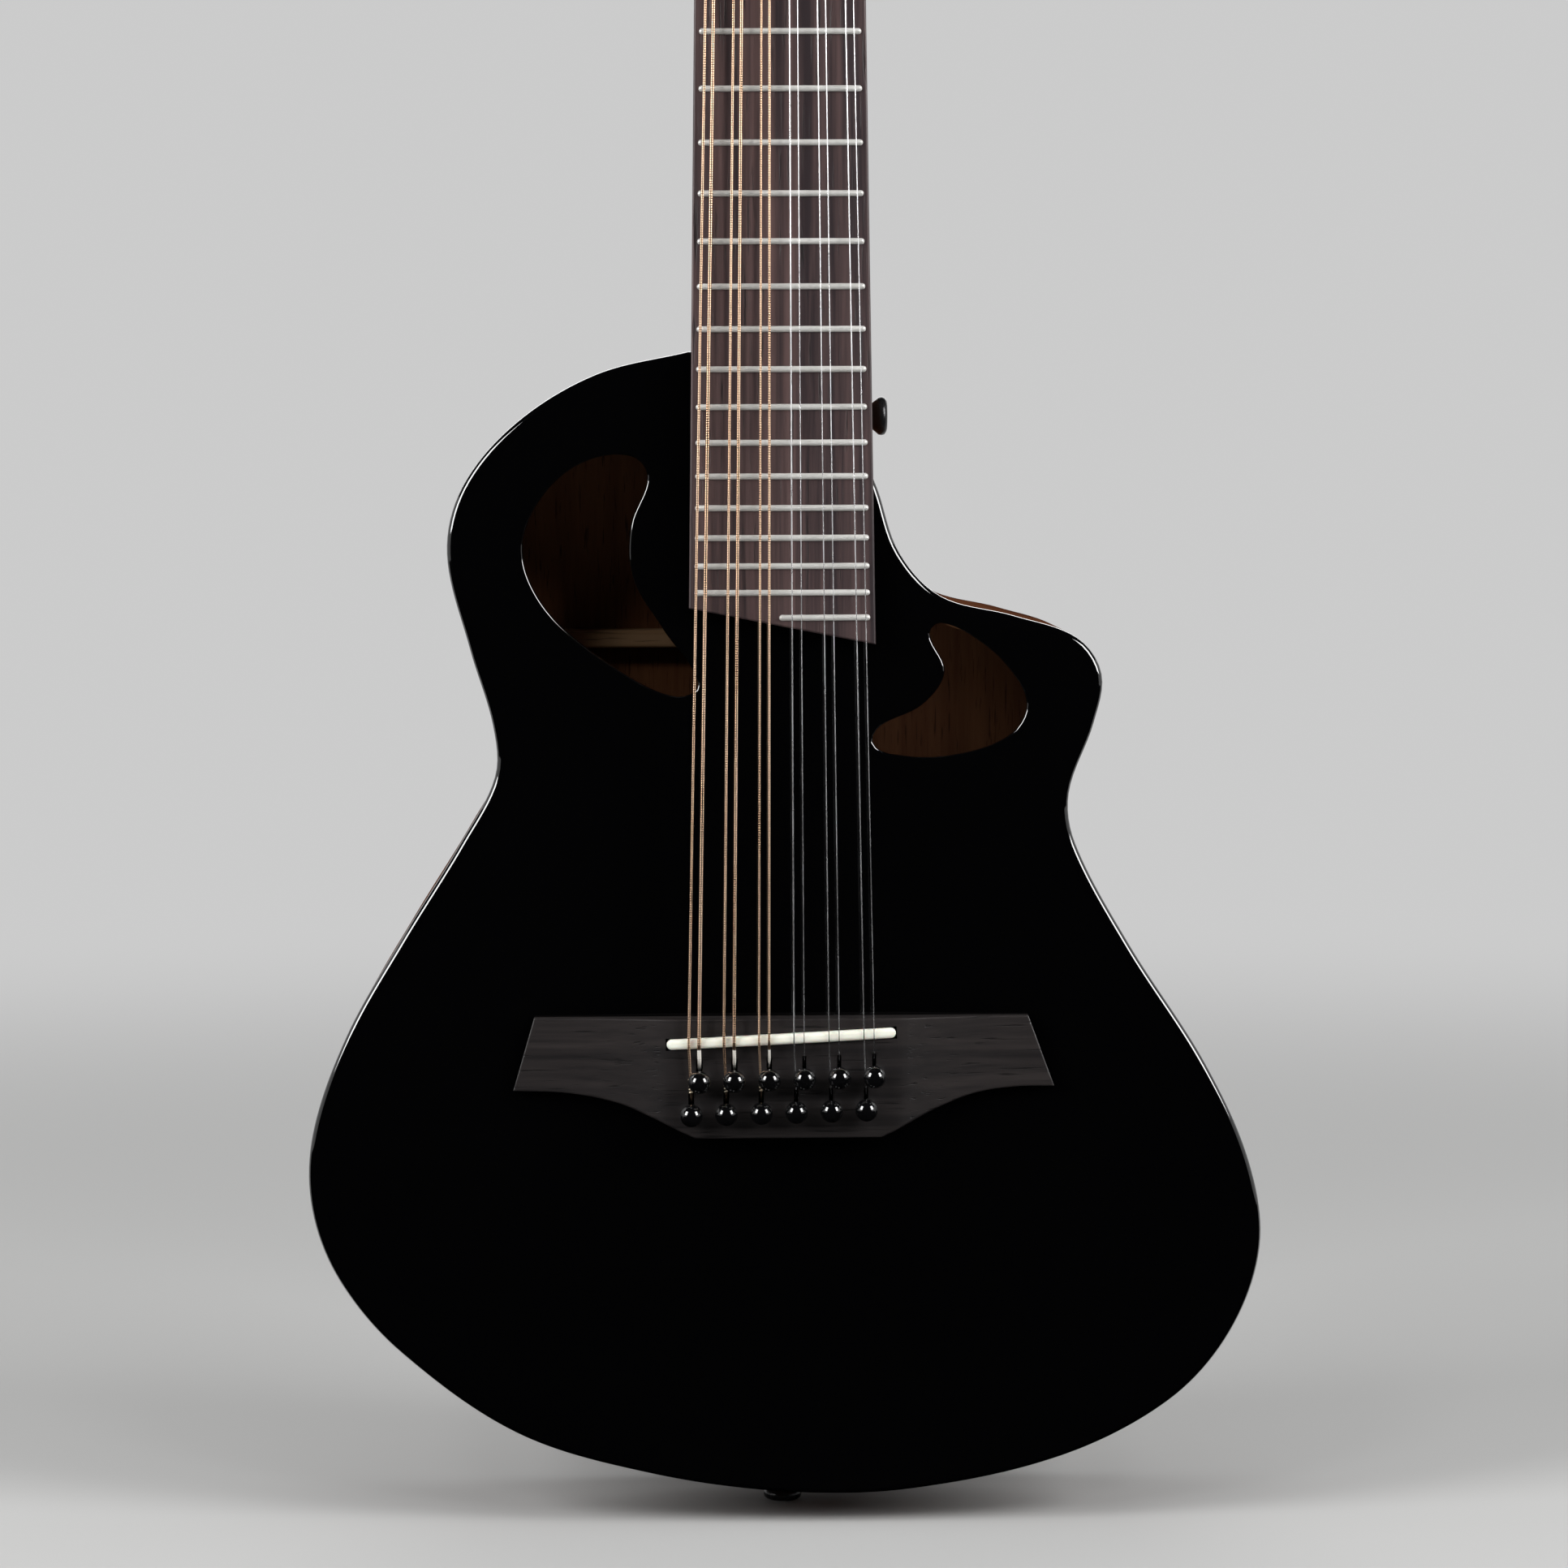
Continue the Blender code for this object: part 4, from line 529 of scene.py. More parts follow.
def makeBraces(name, bars, surface, outwards):  # bars glued to a plate, thinned towards both ends
    shape = {"width": 0.006, "height": 0.011, "toe": 0.003, "ramp": 0.17, "sink": 0.0012, "round": 0.0013,
             "clear": 0.0082, "fenceStep": 0.015, "trim": 0.0005, "parts": 24}
    fence = movedIn(bodyOutline(shape["fenceStep"]), shape["clear"])

    def inside(spot):
        crossed = False
        for a, b in zip(fence, fence[1:] + fence[:1]):
            if (a.y > spot.y) != (b.y > spot.y) and spot.x < a.x + (spot.y - a.y) * (b.x - a.x) / (b.y - a.y):
                crossed = not crossed
        return crossed

    def trimmed(end, inwards, across):
        while not (inside(end + across) and inside(end - across)):
            end = end + inwards * shape["trim"]
        return end

    for number, ends in enumerate(bars, 1):
        first, last = lifted(ends)
        along = (last - first).normalized()
        across = along.orthogonal() * shape["width"] / 2
        first, last = trimmed(first, along, across), trimmed(last, -along, across)
        run = (last - first).length
        foot, crest = [], []
        for i in range(shape["parts"] + 1):
            share = i / shape["parts"]
            spot = first + along * run * share
            lift = smooth(min(1.0, min(share, 1 - share) / shape["ramp"]))
            tall = shape["toe"] + (shape["height"] - shape["toe"]) * lift
            y = surface(spot.x, spot.y)
            foot.append((run * share, y + shape["sink"] * outwards))
            crest.append((run * share, y - tall * outwards))
        bm = roundedPlate([foot + crest[::-1]], -shape["width"] / 2, shape["width"] / 2,
                          [shape["round"]], shape["round"], steps=4)
        axes = Matrix(((along.x, 0, -along.y), (0, 1, 0), (along.y, 0, along.x))).to_4x4()
        bm.transform(shifted(first.x, 0.0, first.y) @ axes)
        makePiece(f"{name}_{number}", bm, "spruce", weighted=True)


def makeBack():
    shape = bodyShape
    bm = roundedPlate([bodyOutline(shape["step"])], 0.0, shape["back"], [shape["backRound"]])
    bm.transform(Matrix.Rotation(-pi / 2, 4, "X") @ Matrix.Scale(-1, 4, (0, 1, 0)))
    low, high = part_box("back")
    for axis in (0, 2):
        sliced(bm, axis, low[axis], high[axis], shape["backStep"])
    for vert in bm.verts:
        vert.co.y += backY(vert.co.x, vert.co.z) - shape["back"]
    for face in facedOut(bm).faces:
        face.material_index = 1 if face.normal.y < -0.9 else 0
    makePiece("back_plate", bm, ["mahogany", "insideWood"], ["back"], weighted=True)
    makeBraces("back_brace", shape["backBraces"], lambda x, z: backY(x, z) - shape["back"], 1.0)


def makeSides():
    outer = bodyOutline(bodyShape["step"])
    inner = movedIn(outer, bodyShape["side"])
    front = topBackY + gap

    def far(x, z):
        return backY(x, z) - bodyShape["back"] - gap

    walls = ((outer, False), (outer, True), (inner, True), (inner, False))
    bm = loft([[(p.x, far(*p) if deep else front, p.y) for p in points] for points, deep in walls],
              around=True)
    makePiece("side_wall", bm, "mahogany", ["rim"])
    makeLinings(front, far)
    makeBlocks(front, far)


def makeLinings(front, far):  # kerfed strips that join the sides to both plates
    shape = {"width": 0.0055, "height": 0.013, "pitch": 0.0058, "slit": 0.0011, "thin": 0.35, "sink": 0.0002,
             "wallStep": 0.004, "blockLeft": -0.032, "blockRight": 0.0395, "blockLow": 0.166}
    wall = movedIn(bodyOutline(shape["wallStep"]), bodyShape["side"] - shape["sink"])
    run, spots = 0.0, []
    for here, after in zip(wall, wall[1:]):
        length = (after - here).length
        while run < length:
            spots.append((here + (after - here) * (run / length), (after - here).normalized()))
            run += shape["pitch"]
        run -= length
    for name, deep in (("front", False), ("back", True)):
        parts = bmesh.new()
        for spot, along in spots:
            inward = Vector((-along.y, along.x))
            middle = spot + inward * shape["width"] / 2
            if shape["blockLeft"] < middle.x < shape["blockRight"] and middle.y > saddleZ + shape["blockLow"]:
                continue  # the neck block stands here
            for vert in bmesh.ops.create_cube(parts, size=1.0)["verts"]:
                x, y, z = vert.co
                tall = shape["height"] if y > 0 else 0.0
                thin = shape["thin"] if y > 0 and z > 0 else 1.0
                flat = spot + along * x * (shape["pitch"] - shape["slit"])
                flat += inward * (z + 0.5) * shape["width"] * thin
                vert.co = (flat.x, far(*flat) - tall if deep else front + tall, flat.y)
        makePiece(f"lining_{name}", parts, "insideWood")


def makeBlocks(front, far):
    low, foot = saddleZ + 0.165, 0.0285
    blocks = {"neck": ((-0.034, low), (0.0315, low), (0.0290, low + 0.007), (0.0250, low + 0.017),
                       (0.0232, low + 0.024), (0.0232, low + 0.0485), (-0.028, low + 0.0485),
                       (-0.034, low + 0.0467)),
              "tail": ((-0.028, saddleZ - 0.1425), (0.0, saddleZ - 0.1442), (0.028, saddleZ - 0.1436),
                       (0.028, foot), (-0.028, foot))}
    for name, outline in blocks.items():
        bm = roundedPlate([[Vector(p) for p in outline]], 0.0, 1.0, [0.0])
        bm.transform(faceFront)
        for vert in bm.verts:
            vert.co.y = front if vert.co.y < -0.5 else far(vert.co.x, vert.co.z)
        makePiece(f"{name}_block", bm, "insideWood")


# Neck, fretboard and nut

boardShape = {"nutWidth": 0.0494, "lastWidth": 0.0584, "radius": 0.400, "frets": 22, "endRise": 0.0030,
              "endFall": 0.0085, "edgeRound": 0.0007, "fretHeight": 0.0010, "fretRadius": 0.00096,
              "fretInset": 0.0016, "fretRows": 9, "fretSides": 16, "fretCuts": 12, "endHalf": 0.029,
              "step": 0.003}
lastFretRun = scaleLength * (1 - 2 ** (-boardShape["frets"] / 12))
boardEndSlope = -(boardShape["endRise"] + boardShape["endFall"]) / boardShape["lastWidth"]
neckShape = {"nutDepth": 0.0155, "heelDepth": 0.0175, "heelCap": 0.072, "capHalf": 0.013, "heelLength": 0.052,
             "heelRings": 30, "heelRise": 1.6, "heelCurve": 2.2, "capCurve": 0.8, "shaftRings": 6,
             "arcSteps": 44, "across": 0.75, "behind": 0.8}


def boardHalf(z):
    widening = (boardShape["lastWidth"] - boardShape["nutWidth"]) / 2 / lastFretRun
    return boardShape["nutWidth"] / 2 + widening * (nutZ - z)


def boardDrop(x):
    return x**2 / (2 * boardShape["radius"])


def boardEnd(x):
    middle = nutZ - lastFretRun + (boardShape["endRise"] - boardShape["endFall"]) / 2
    return middle + boardEndSlope * x


def makeFretboard():
    near, top = boardShape["endHalf"], nutZ - gap / 2
    left, right = -boardHalf(boardEnd(-near)), boardHalf(boardEnd(near))
    corners = [Vector(p) for p in ((left, boardEnd(left)), (right, boardEnd(right)),
                                   (boardHalf(top), top), (-boardHalf(top), top))]
    foot, thick = frontY - gap, boardThick - gap
    bm = roundedPlate([corners], 0.0, thick, [boardShape["edgeRound"]], steps=4)
    stood(bm, foot)
    sliced(bm, 0, left, right, boardShape["step"])
    for vert in bm.verts:
        vert.co.y += boardDrop(vert.co.x) * ((foot - vert.co.y) / thick)
    makePiece("rosewood_board", bm, "rosewood", ["fretboard"], weighted=True)
    frets = bmesh.new()
    for number in range(1, boardShape["frets"] + 1):
        addFret(frets, saddleZ + scaleLength * 2 ** (-number / 12))
    makePiece("fret_wires", frets, "fretWire")


def addFret(bm, z):  # a crowned wire with rounded ends
    inset, radius = boardShape["fretInset"], boardShape["fretRadius"]
    right = boardHalf(z) - inset
    left = max(-right, (z - inset - radius - boardEnd(0.0)) / boardEndSlope)
    rows, sides = boardShape["fretRows"], boardShape["fretSides"]
    ball = bmesh.ops.create_uvsphere(bm, u_segments=sides, v_segments=rows,
                                     radius=radius / cos(pi / 2 / rows), matrix=alongX)["verts"]
    for vert in ball:
        vert.co.x += (right - radius) if vert.co.x > 0 else (left + radius)
    long = {edge for vert in ball for edge in vert.link_edges if edge.calc_length() > 0.01}
    bmesh.ops.subdivide_edges(bm, edges=list(long), cuts=boardShape["fretCuts"])
    for vert in bm.verts:
        if not vert.tag:
            vert.tag = True
            vert.co.y += boardTopY + boardDrop(vert.co.x) - boardShape["fretHeight"] + radius
            vert.co.z += z


def neckRing(z, half, depth, cap):  # flat in front, rounded behind
    points = []
    for i in range(neckShape["arcSteps"] + 1):
        angle = pi * i / neckShape["arcSteps"]
        width = half + (cap - half) * sin(angle)**2
        points.append((width * signedPower(-cos(angle), neckShape["across"]),
                       frontY + depth * sin(angle)**neckShape["behind"], z))
    return points


def makeNeck():
    shape = neckShape
    joint = saddleZ + bodyShape["shoulder"] + gap
    rings = []
    for number in range(shape["heelRings"] + 1):
        rise = number / shape["heelRings"]
        z = joint + shape["heelLength"] * rise ** shape["heelRise"]
        deep = shape["heelDepth"] + (shape["heelCap"] - shape["heelDepth"]) * (1 - rise) ** shape["heelCurve"]
        half = boardHalf(z)
        cap = shape["capHalf"] + (half - shape["capHalf"]) * rise ** shape["capCurve"]
        rings.append(neckRing(z, half, deep, cap))
    start, top = rings[-1][0][2], nutZ + nutThick + gap
    for number in range(1, shape["shaftRings"] + 1):
        share = number / shape["shaftRings"]
        z = start + (top - start) * share
        deep = shape["heelDepth"] + (shape["nutDepth"] - shape["heelDepth"]) * share
        rings.append(neckRing(z, boardHalf(z), deep, boardHalf(z)))
    makePiece("neck_shaft", loft(rings), "neckWood", ["neck"], bend=40)


nutShape = {"pitch": 0.00758, "pairHalf": 0.0011, "lip": 0.0004, "above": 0.0007, "slotSteps": 6,
            "edge": 0.00025, "edgeAngle": radians(55)}


def makeNut():
    half, steps = boardShape["nutWidth"] / 2, nutShape["slotSteps"]
    outline = [(-half, frontY - gap), (half, frontY - gap), (half, nutTop(half))]
    for index in reversed(range(stringCount)):
        x, radius = nutX(index), stringSizes[index] / 2 + gap
        floor = nutTop(x) + nutShape["lip"] + gap
        for i in range(steps + 1):  # round-bottomed slot
            angle = pi * i / steps
            outline.append((x + radius * cos(angle),
                            nutTop(x) if i in (0, steps) else floor - radius * (1 - sin(angle))))
    outline.append((-half, nutTop(half)))
    bm, far = extruded([(x, y, nutZ + gap / 2) for x, y in outline], (0, 0, nutThick))
    nut = makePiece("bone_nut", bm, "bone", ["nut"])
    edges = nut.modifiers.new("edges", "BEVEL")
    edges.width, edges.segments = nutShape["edge"], 2
    edges.limit_method, edges.angle_limit = "ANGLE", nutShape["edgeAngle"]


# Headstock and tuners

headShape = {"angle": radians(14.0), "step": 0.0006, "thickness": 0.0145, "length": 0.176,
             "half": 0.0385, "flareV": 0.024, "flare": ((0.03, 0.17), (0.22, 0.42), (0.70, 0.75), (1.0, 1.0)),
             "sink": 0.0015, "corner": 0.003, "crown": 0.007, "postU": 0.0270, "firstPost": 0.036,
             "postPitch": 0.024, "round": 0.0012, "carve": 0.022, "carveSpare": 0.006, "carveSkin": 0.002,
             "carveEdge": 0.0004, "alongStep": 0.0016, "acrossStep": 0.0028,
             "flareStep": 0.0015, "cornerSteps": 8, "crownSteps": 12,
             "bushing": ((0.0033, 0.0), (0.0050, 0.0), (0.0050, 0.0004), (0.0046, 0.0008), (0.0036, 0.0010),
                         (0.0033, 0.0009), (0.0033, 0.0))}
tunerShape = {"wheelRadius": 0.0040, "teeth": 12, "wheelThick": 0.0032, "wheelTip": 0.0005,
              "wheelRoot": 0.0007, "toothTip": 0.56, "toothFoot": 1.56, "free": 0.00024,
              "wormRadius": 0.0020, "wormTip": 0.0005, "wormTurns": 1.75, "threadTip": 0.5,
              "threadFoot": 1.6, "shaft": 0.00125, "collar": 0.0019, "postRadius": 0.0030,
              "waist": 0.0027, "waistFoot": 0.0010, "postHeight": 0.0110, "holeHeight": 0.0078,
              "holeRadius": 0.0009, "plateThick": 0.0012, "plateIn": 0.0075, "plateOut": 0.0095,
              "plateStart": 0.0065, "plateEnd": 0.0130, "earThick": 0.0010, "earHalf": 0.0023,
              "earOffset": 0.0037, "earWall": 0.0006, "knobStart": 0.0125, "knobLength": 0.0155,
              "knobHalf": 0.0077, "knobThick": 0.0032, "turns": 1.5, "turnSpace": 0.00045, "running": 0.0003,
              "knobNeck": 0.0023, "knobThin": 0.02, "knobFull": 2.8, "knobRound": 0.52, "knobSquare": 0.8,
              "plateBend": 0.0035, "plateRound": 0.0004, "earRound": 0.00022, "firstScrew": 0.0107,
              "screwAfter": 0.0105, "stripScrew": (0.0019, 0.0009), "wheelScrew": (0.0021, 0.0005)}
wormLead = 2 * pi * tunerShape["wheelRadius"] / tunerShape["teeth"]
centreDistance = tunerShape["wheelRadius"] + tunerShape["wormRadius"]
plateBack = -headShape["thickness"] - gap - tunerShape["plateThick"]
wormW = plateBack - tunerShape["running"] - tunerShape["wormRadius"] - tunerShape["wormTip"]
headPlace = (shifted(0.0, frontY + headShape["step"], nutZ + nutThick + gap)
             @ Matrix(((1, 0, 0), (0, sin(headShape["angle"]), -cos(headShape["angle"])),
                       (0, cos(headShape["angle"]), sin(headShape["angle"])))).to_4x4())


def postPlace(index):  # side, u and v of a string's post
    side = -1 if index < perSide else 1
    row = index if side < 0 else stringCount - 1 - index
    return side, side * headShape["postU"], headShape["firstPost"] + headShape["postPitch"] * row


def headOutline():
    shape, foot = headShape, boardHalf(nutZ)
    knots = [(foot, -shape["sink"])] + [(foot + (shape["half"] - foot) * share, shape["flareV"] * rise)
                                        for share, rise in shape["flare"]]
    shoulder, corner = shape["length"] - shape["crown"], shape["half"] - shape["corner"]
    line = lineThrough(knots, shape["flareStep"])
    line += arc(corner, shoulder - shape["corner"], shape["corner"], 0, 90, shape["cornerSteps"])
    line += [Vector((corner * share, shape["length"] - shape["crown"] * share**2))
             for share in (1 - i / shape["crownSteps"] for i in range(1, shape["crownSteps"]))]
    return line + [Vector((0.0, shape["length"]))] + [Vector((-p.x, p.y)) for p in reversed(line)]


def makeHeadstock():
    shape, foot = headShape, boardHalf(nutZ)
    bm = roundedPlate([headOutline()], -shape["thickness"], 0.0, [shape["round"]], shape["round"], steps=4)
    sliced(bm, 1, -shape["sink"], shape["carve"] + shape["carveSpare"], shape["alongStep"])
    sliced(bm, 0, -shape["half"], shape["half"], shape["acrossStep"])
    for vert in bm.verts:  # carved from the round neck to the square head
        u, v, w = vert.co
        if v < shape["carve"] and w < -shape["carveSkin"]:
            ease = smooth(max(0.0, v / shape["carve"]))
            edge = min(1.0, abs(u) / (foot + (shape["half"] - foot) * ease + shape["carveEdge"]))
            arch = (1 - edge ** (2 / neckShape["across"])) ** (neckShape["behind"] / 2) if edge < 1 else 0.0
            vert.co.z = max(w, -shape["thickness"] * (arch + (1 - arch) * ease))
    holes = bmesh.new()
    for index in range(stringCount):
        side, u, v = postPlace(index)
        addBar(holes, tunerShape["postRadius"] + tunerShape["running"], 2.2 * shape["thickness"],
               shifted(u, v, -shape["thickness"] / 2), 36)
    bm = cutWith(bm, holes)
    for face in facedOut(bm).faces:
        face.material_index = 0 if face.normal.z > 0.25 else 1
    bm.transform(headPlace)
    makePiece("headstock", bm, ["topLacquer", "neckWood"], weighted=True)
    bushings = [spun(shape["bushing"], 40, headPlace @ shifted(*postPlace(index)[1:], 0.0))
                for index in range(stringCount)]
    makePiece("post_bushings", joined(*bushings), "chrome")


def wheelOutline(w):
    shape = tunerShape
    tooth = (wormLead / 2 - shape["free"]) / shape["wheelRadius"]
    tip, root = shape["wheelRadius"] + shape["wheelTip"], shape["wheelRadius"] - shape["wheelRoot"]
    spots = []
    for number in range(shape["teeth"]):
        middle = -pi / 2 + 2 * pi / shape["teeth"] * (number + 0.5)
        for radius, share in ((root, -shape["toothFoot"] / 2), (tip, -shape["toothTip"] / 2),
                              (tip, shape["toothTip"] / 2), (root, shape["toothFoot"] / 2)):
            spots.append((radius * cos(middle + share * tooth), radius * sin(middle + share * tooth), w))
    return spots


def postMesh(side):
    shape = tunerShape
    thick, full, waist = shape["wheelThick"], shape["postRadius"], shape["waist"]
    low, step, crown = wormW - thick / 2, full - waist, shape["holeHeight"] + 0.0010
    profile = [(0.0, 0.01065), (0.0020, 0.01075), (0.0026, shape["postHeight"]), (0.00285, 0.01090),
               (full, 0.01060), (full, crown + step), (0.00285, crown + step * 0.35), (waist, crown),
               (waist, shape["waistFoot"]), (full, shape["waistFoot"] - step), (full, wormW), (0.0, wormW)]
    hole = bmesh.new()
    addBar(hole, shape["holeRadius"], 0.012, shifted(0, 0, shape["holeHeight"]) @ alongX, 20)
    wheel, far = extruded(wheelOutline(low), (0, 0, thick))
    lean = -side * wormLead / (2 * pi * shape["wormRadius"]) / shape["wheelRadius"] * thick / 2
    for verts, turn in ((far, lean), ([v for v in wheel.verts if v not in far], -lean)):
        bmesh.ops.rotate(wheel, verts=verts, cent=(0, 0, 0), matrix=Matrix.Rotation(turn, 3, "Z"))
    return joined(cutWith(spun(profile, 40), hole), wheel, slottedScrew(*shape["wheelScrew"], low))


def slottedScrew(radius, tall, w):  # low domed head that faces down, with a straight slot
    profile = [(0.0, tall), (radius * 0.5, tall * 0.94), (radius * 0.85, tall * 0.62), (radius, tall * 0.15),
               (radius, -0.0004), (0.0, -0.0004)]
    slot = bmesh.new()
    addBox(slot, (radius * 3, radius * 0.26, tall * 1.1),
           shifted(0, 0, tall) @ Matrix.Rotation(radians(27), 4, "Z"))
    bm = cutWith(spun(profile, 28), slot)
    bm.transform(shifted(0, 0, w) @ Matrix.Scale(-1, 4, (0, 0, 1)))
    return bm


def knobMesh(side):
    shape = tunerShape
    collar = shape["earOffset"] + shape["earThick"] / 2 + shape["running"]
    start, foot, neck = -shape["earOffset"] - shape["earThick"], shape["knobStart"], shape["knobNeck"]
    shaft = spun([(0.0, start), (0.0010, start), (shape["shaft"], start + 0.00025), (shape["shaft"], collar),
                  (shape["collar"] * 0.92, collar + 0.0002), (shape["collar"], collar + 0.0005),
                  (shape["collar"], foot - 0.0012), (neck, foot - 0.0009), (neck, foot + 0.0012),
                  (0.0, foot + 0.0012)], 32, alongX)
    rings, steps, sides = [], 24, 32
    for i in range(steps + 1):
        share = (1 - cos(pi * i / steps)) / 2
        width = max(shape["knobThin"], 1 - abs(2 * share - 1) ** shape["knobFull"]) ** shape["knobRound"]
        half = shape["knobHalf"] * width
        thick = shape["knobThick"] * (0.35 + 0.65 * width) * min(1, width * 3)
        angles = [2 * pi * (k + 0.5) / sides for k in range(sides)]
        rings.append([(foot + shape["knobLength"] * share, half * signedPower(cos(a), shape["knobSquare"]),
                       thick * signedPower(sin(a), shape["knobSquare"])) for a in angles])
    whole = joined(shaft, loft(rings))
    if side < 0:
        whole.transform(mirroredX)
    return joined(whole, wormMesh(side))


def wormMesh(side):  # one thread round the shaft, its hand set by the side
    shape, worm, steps = tunerShape, bmesh.new(), 56
    width = wormLead / 2 - shape["free"]
    sunk, tip = shape["shaft"] * 0.85, shape["wormRadius"] + shape["wormTip"]
    first, turn = side * wormLead * shape["wormTurns"] / 2, -pi * shape["wormTurns"]
    thread = ((sunk, -shape["threadFoot"]), (tip, -shape["threadTip"]),
              (tip, shape["threadTip"]), (sunk, shape["threadFoot"]))
    section = ring(worm, [(first + along * width / 2, radius * cos(turn), radius * sin(turn))
                          for radius, along in thread])
    bmesh.ops.spin(worm, geom=worm.verts[:] + section, axis=(1, 0, 0),
                   dvec=(-side * wormLead * shape["wormTurns"] / steps, 0, 0),
                   angle=2 * pi * shape["wormTurns"], steps=steps)
    bmesh.ops.holes_fill(worm, edges=worm.edges[:], sides=4)
    return worm


def makeTuners():
    for side in (-1, 1):
        for kind, name, build in (("post", "string_post", postMesh), ("button", "worm_and_knob", knobMesh)):
            model = asMesh(build(side))
            for index in range(stringCount):
                itsSide, u, v = postPlace(index)
                if itsSide == side:
                    copy = bmesh.new()
                    copy.from_mesh(model)
                    spot = (u, v, 0.0) if kind == "post" else (u, v - centreDistance, wormW)
                    copy.transform(headPlace @ shifted(*spot))
                    itsBody = f"{kind}_{label(index)}"
                    makePiece(f"{name}_{label(index)}", copy, "chrome", [f"tuner_{itsBody}"], itsBody)
            bpy.data.meshes.remove(model)
        makeTunerPlate(side)


def makeTunerPlate(side):
    shape, u = tunerShape, headShape["postU"]
    rows = [postPlace(index)[2] for index in range(perSide)]
    inner, outer, bend = u - shape["plateIn"], u + shape["plateOut"], shape["plateBend"]
    low, high = rows[0] - centreDistance - shape["plateStart"], rows[-1] + shape["plateEnd"]
    corners = ((outer - bend, low + bend, -90), (outer - bend, high - bend, 0),
               (inner + bend, high - bend, 90), (inner + bend, low + bend, 180))
    outline = [spot for x, y, begin in corners for spot in arc(x, y, bend, begin, 90, 6)]
    bm = roundedPlate([outline], plateBack, plateBack + shape["plateThick"], [0.0],
                      shape["plateRound"], steps=3)
    radius = shape["shaft"] + shape["running"]
    earBack = wormW - radius - shape["earWall"]
    depth = plateBack + shape["plateThick"] / 4 - earBack
    ears, cutter = bmesh.new(), bmesh.new()
    for v in rows:
        for offset in (-shape["earOffset"], shape["earOffset"]):
            addBox(ears, (shape["earThick"], 2 * shape["earHalf"], depth),
                   shifted(u + offset, v - centreDistance, earBack + depth / 2))
        addBar(cutter, radius, 0.012, shifted(u, v - centreDistance, wormW) @ alongX, 28)
        addBar(cutter, shape["postRadius"] + shape["running"], 0.008, shifted(u, v, plateBack), 28)
    bmesh.ops.bevel(ears, geom=ears.edges[:], offset=shape["earRound"], offset_type="OFFSET", segments=2,
                    profile=0.5, affect="EDGES", material=-1)
    parts = [cutWith(joined(bm, ears), cutter)]
    for v in [rows[0] - shape["firstScrew"]] + [row + shape["screwAfter"] for row in rows]:
        screw = slottedScrew(*shape["stripScrew"], plateBack)
        screw.transform(shifted(u, v, 0))
        parts.append(screw)
    whole = joined(*parts)
    if side < 0:
        whole.transform(mirroredX)
    whole.transform(headPlace)
    name = "bass" if side < 0 else "treble"
    makePiece(f"tuner_strip_{name}", whole, "chrome", [f"tuner_plate_{name}"])


# Bridge, saddle and pins

bridgeShape = {
    "outline": ((-0.0786, 0.0060), (0.0773, 0.0060), (0.0855, -0.0164), (0.0727, -0.0166), (0.0600, -0.0185),
                (0.0471, -0.0235), (0.0343, -0.0302), (0.0305, -0.0319), (-0.0280, -0.0319),
                (-0.0321, -0.0300), (-0.0423, -0.0250), (-0.0525, -0.0208), (-0.0678, -0.0178),
                (-0.0853, -0.0170)),
    "height": 0.0080, "block": 0.0370, "tip": 0.0032, "power": 2.4, "round": 0.0007,
    "saddleLength": 0.0722, "saddleThick": 0.0033, "saddleBassZ": -0.0021, "saddleTrebleZ": 0.0014,
    "slotDepth": 0.0045, "pinRadius": 0.0023, "pinEnd": 0.00145, "notchReach": 0.0068,
    "notchDepth": 0.0035, "pinToString": 0.0033, "pitch": 0.0110, "pair": 0.0032, "shift": -0.0008,
    "half": 0.0855, "step": 0.0019, "above": 0.0040, "pinLeft": 0.0009, "pinRight": 0.0017,
    "upperPins": -0.0128, "lowerPins": -0.0232, "pinSlant": 0.025, "plateHalf": 0.037, "plateThick": 0.0029,
    "plateRound": 0.0006, "plateLow": -0.0319, "plateHigh": 0.006, "saddleRound": 0.0013,
    "saddleStep": 0.004, "fine": 0.002, "coarse": 0.004, "drillLow": 0.007, "drillTaper": 0.8}
bridgeTopY = frontY - gap - bridgeShape["height"]
plateInsideY = topBackY + 0.0025
saddleShift = bridgeShape["shift"]


def courseX(index, pitch, left, right):  # six courses of a left and a right string
    course, half = divmod(index, 2)
    return (course - 2.5) * pitch + (right if half else left)


def saddleX(index):
    half = bridgeShape["pair"] / 2
    return courseX(index, bridgeShape["pitch"], saddleShift - half, saddleShift + half)


def nutX(index):
    return courseX(index, nutShape["pitch"], -nutShape["pairHalf"], nutShape["pairHalf"])


def saddleFoot(x):  # undersides of the strings over the saddle
    return boardTopY - boardShape["fretHeight"] + boardDrop(x) - bridgeShape["above"]


def nutFoot(x):
    return boardTopY - boardShape["fretHeight"] + boardDrop(x) - nutShape["above"]


def nutTop(x):
    return nutFoot(x) - nutShape["lip"]


def saddleSlope():
    return (bridgeShape["saddleTrebleZ"] - bridgeShape["saddleBassZ"]) / bridgeShape["saddleLength"]


def saddleCentre(x):
    middle = (bridgeShape["saddleBassZ"] + bridgeShape["saddleTrebleZ"]) / 2
    return saddleZ + middle + saddleSlope() * (x - saddleShift)


def saddlePlace():
    turn = Matrix.Rotation(-atan(saddleSlope()), 4, "Y")
    return shifted(saddleShift, 0.0, saddleCentre(saddleShift)) @ turn


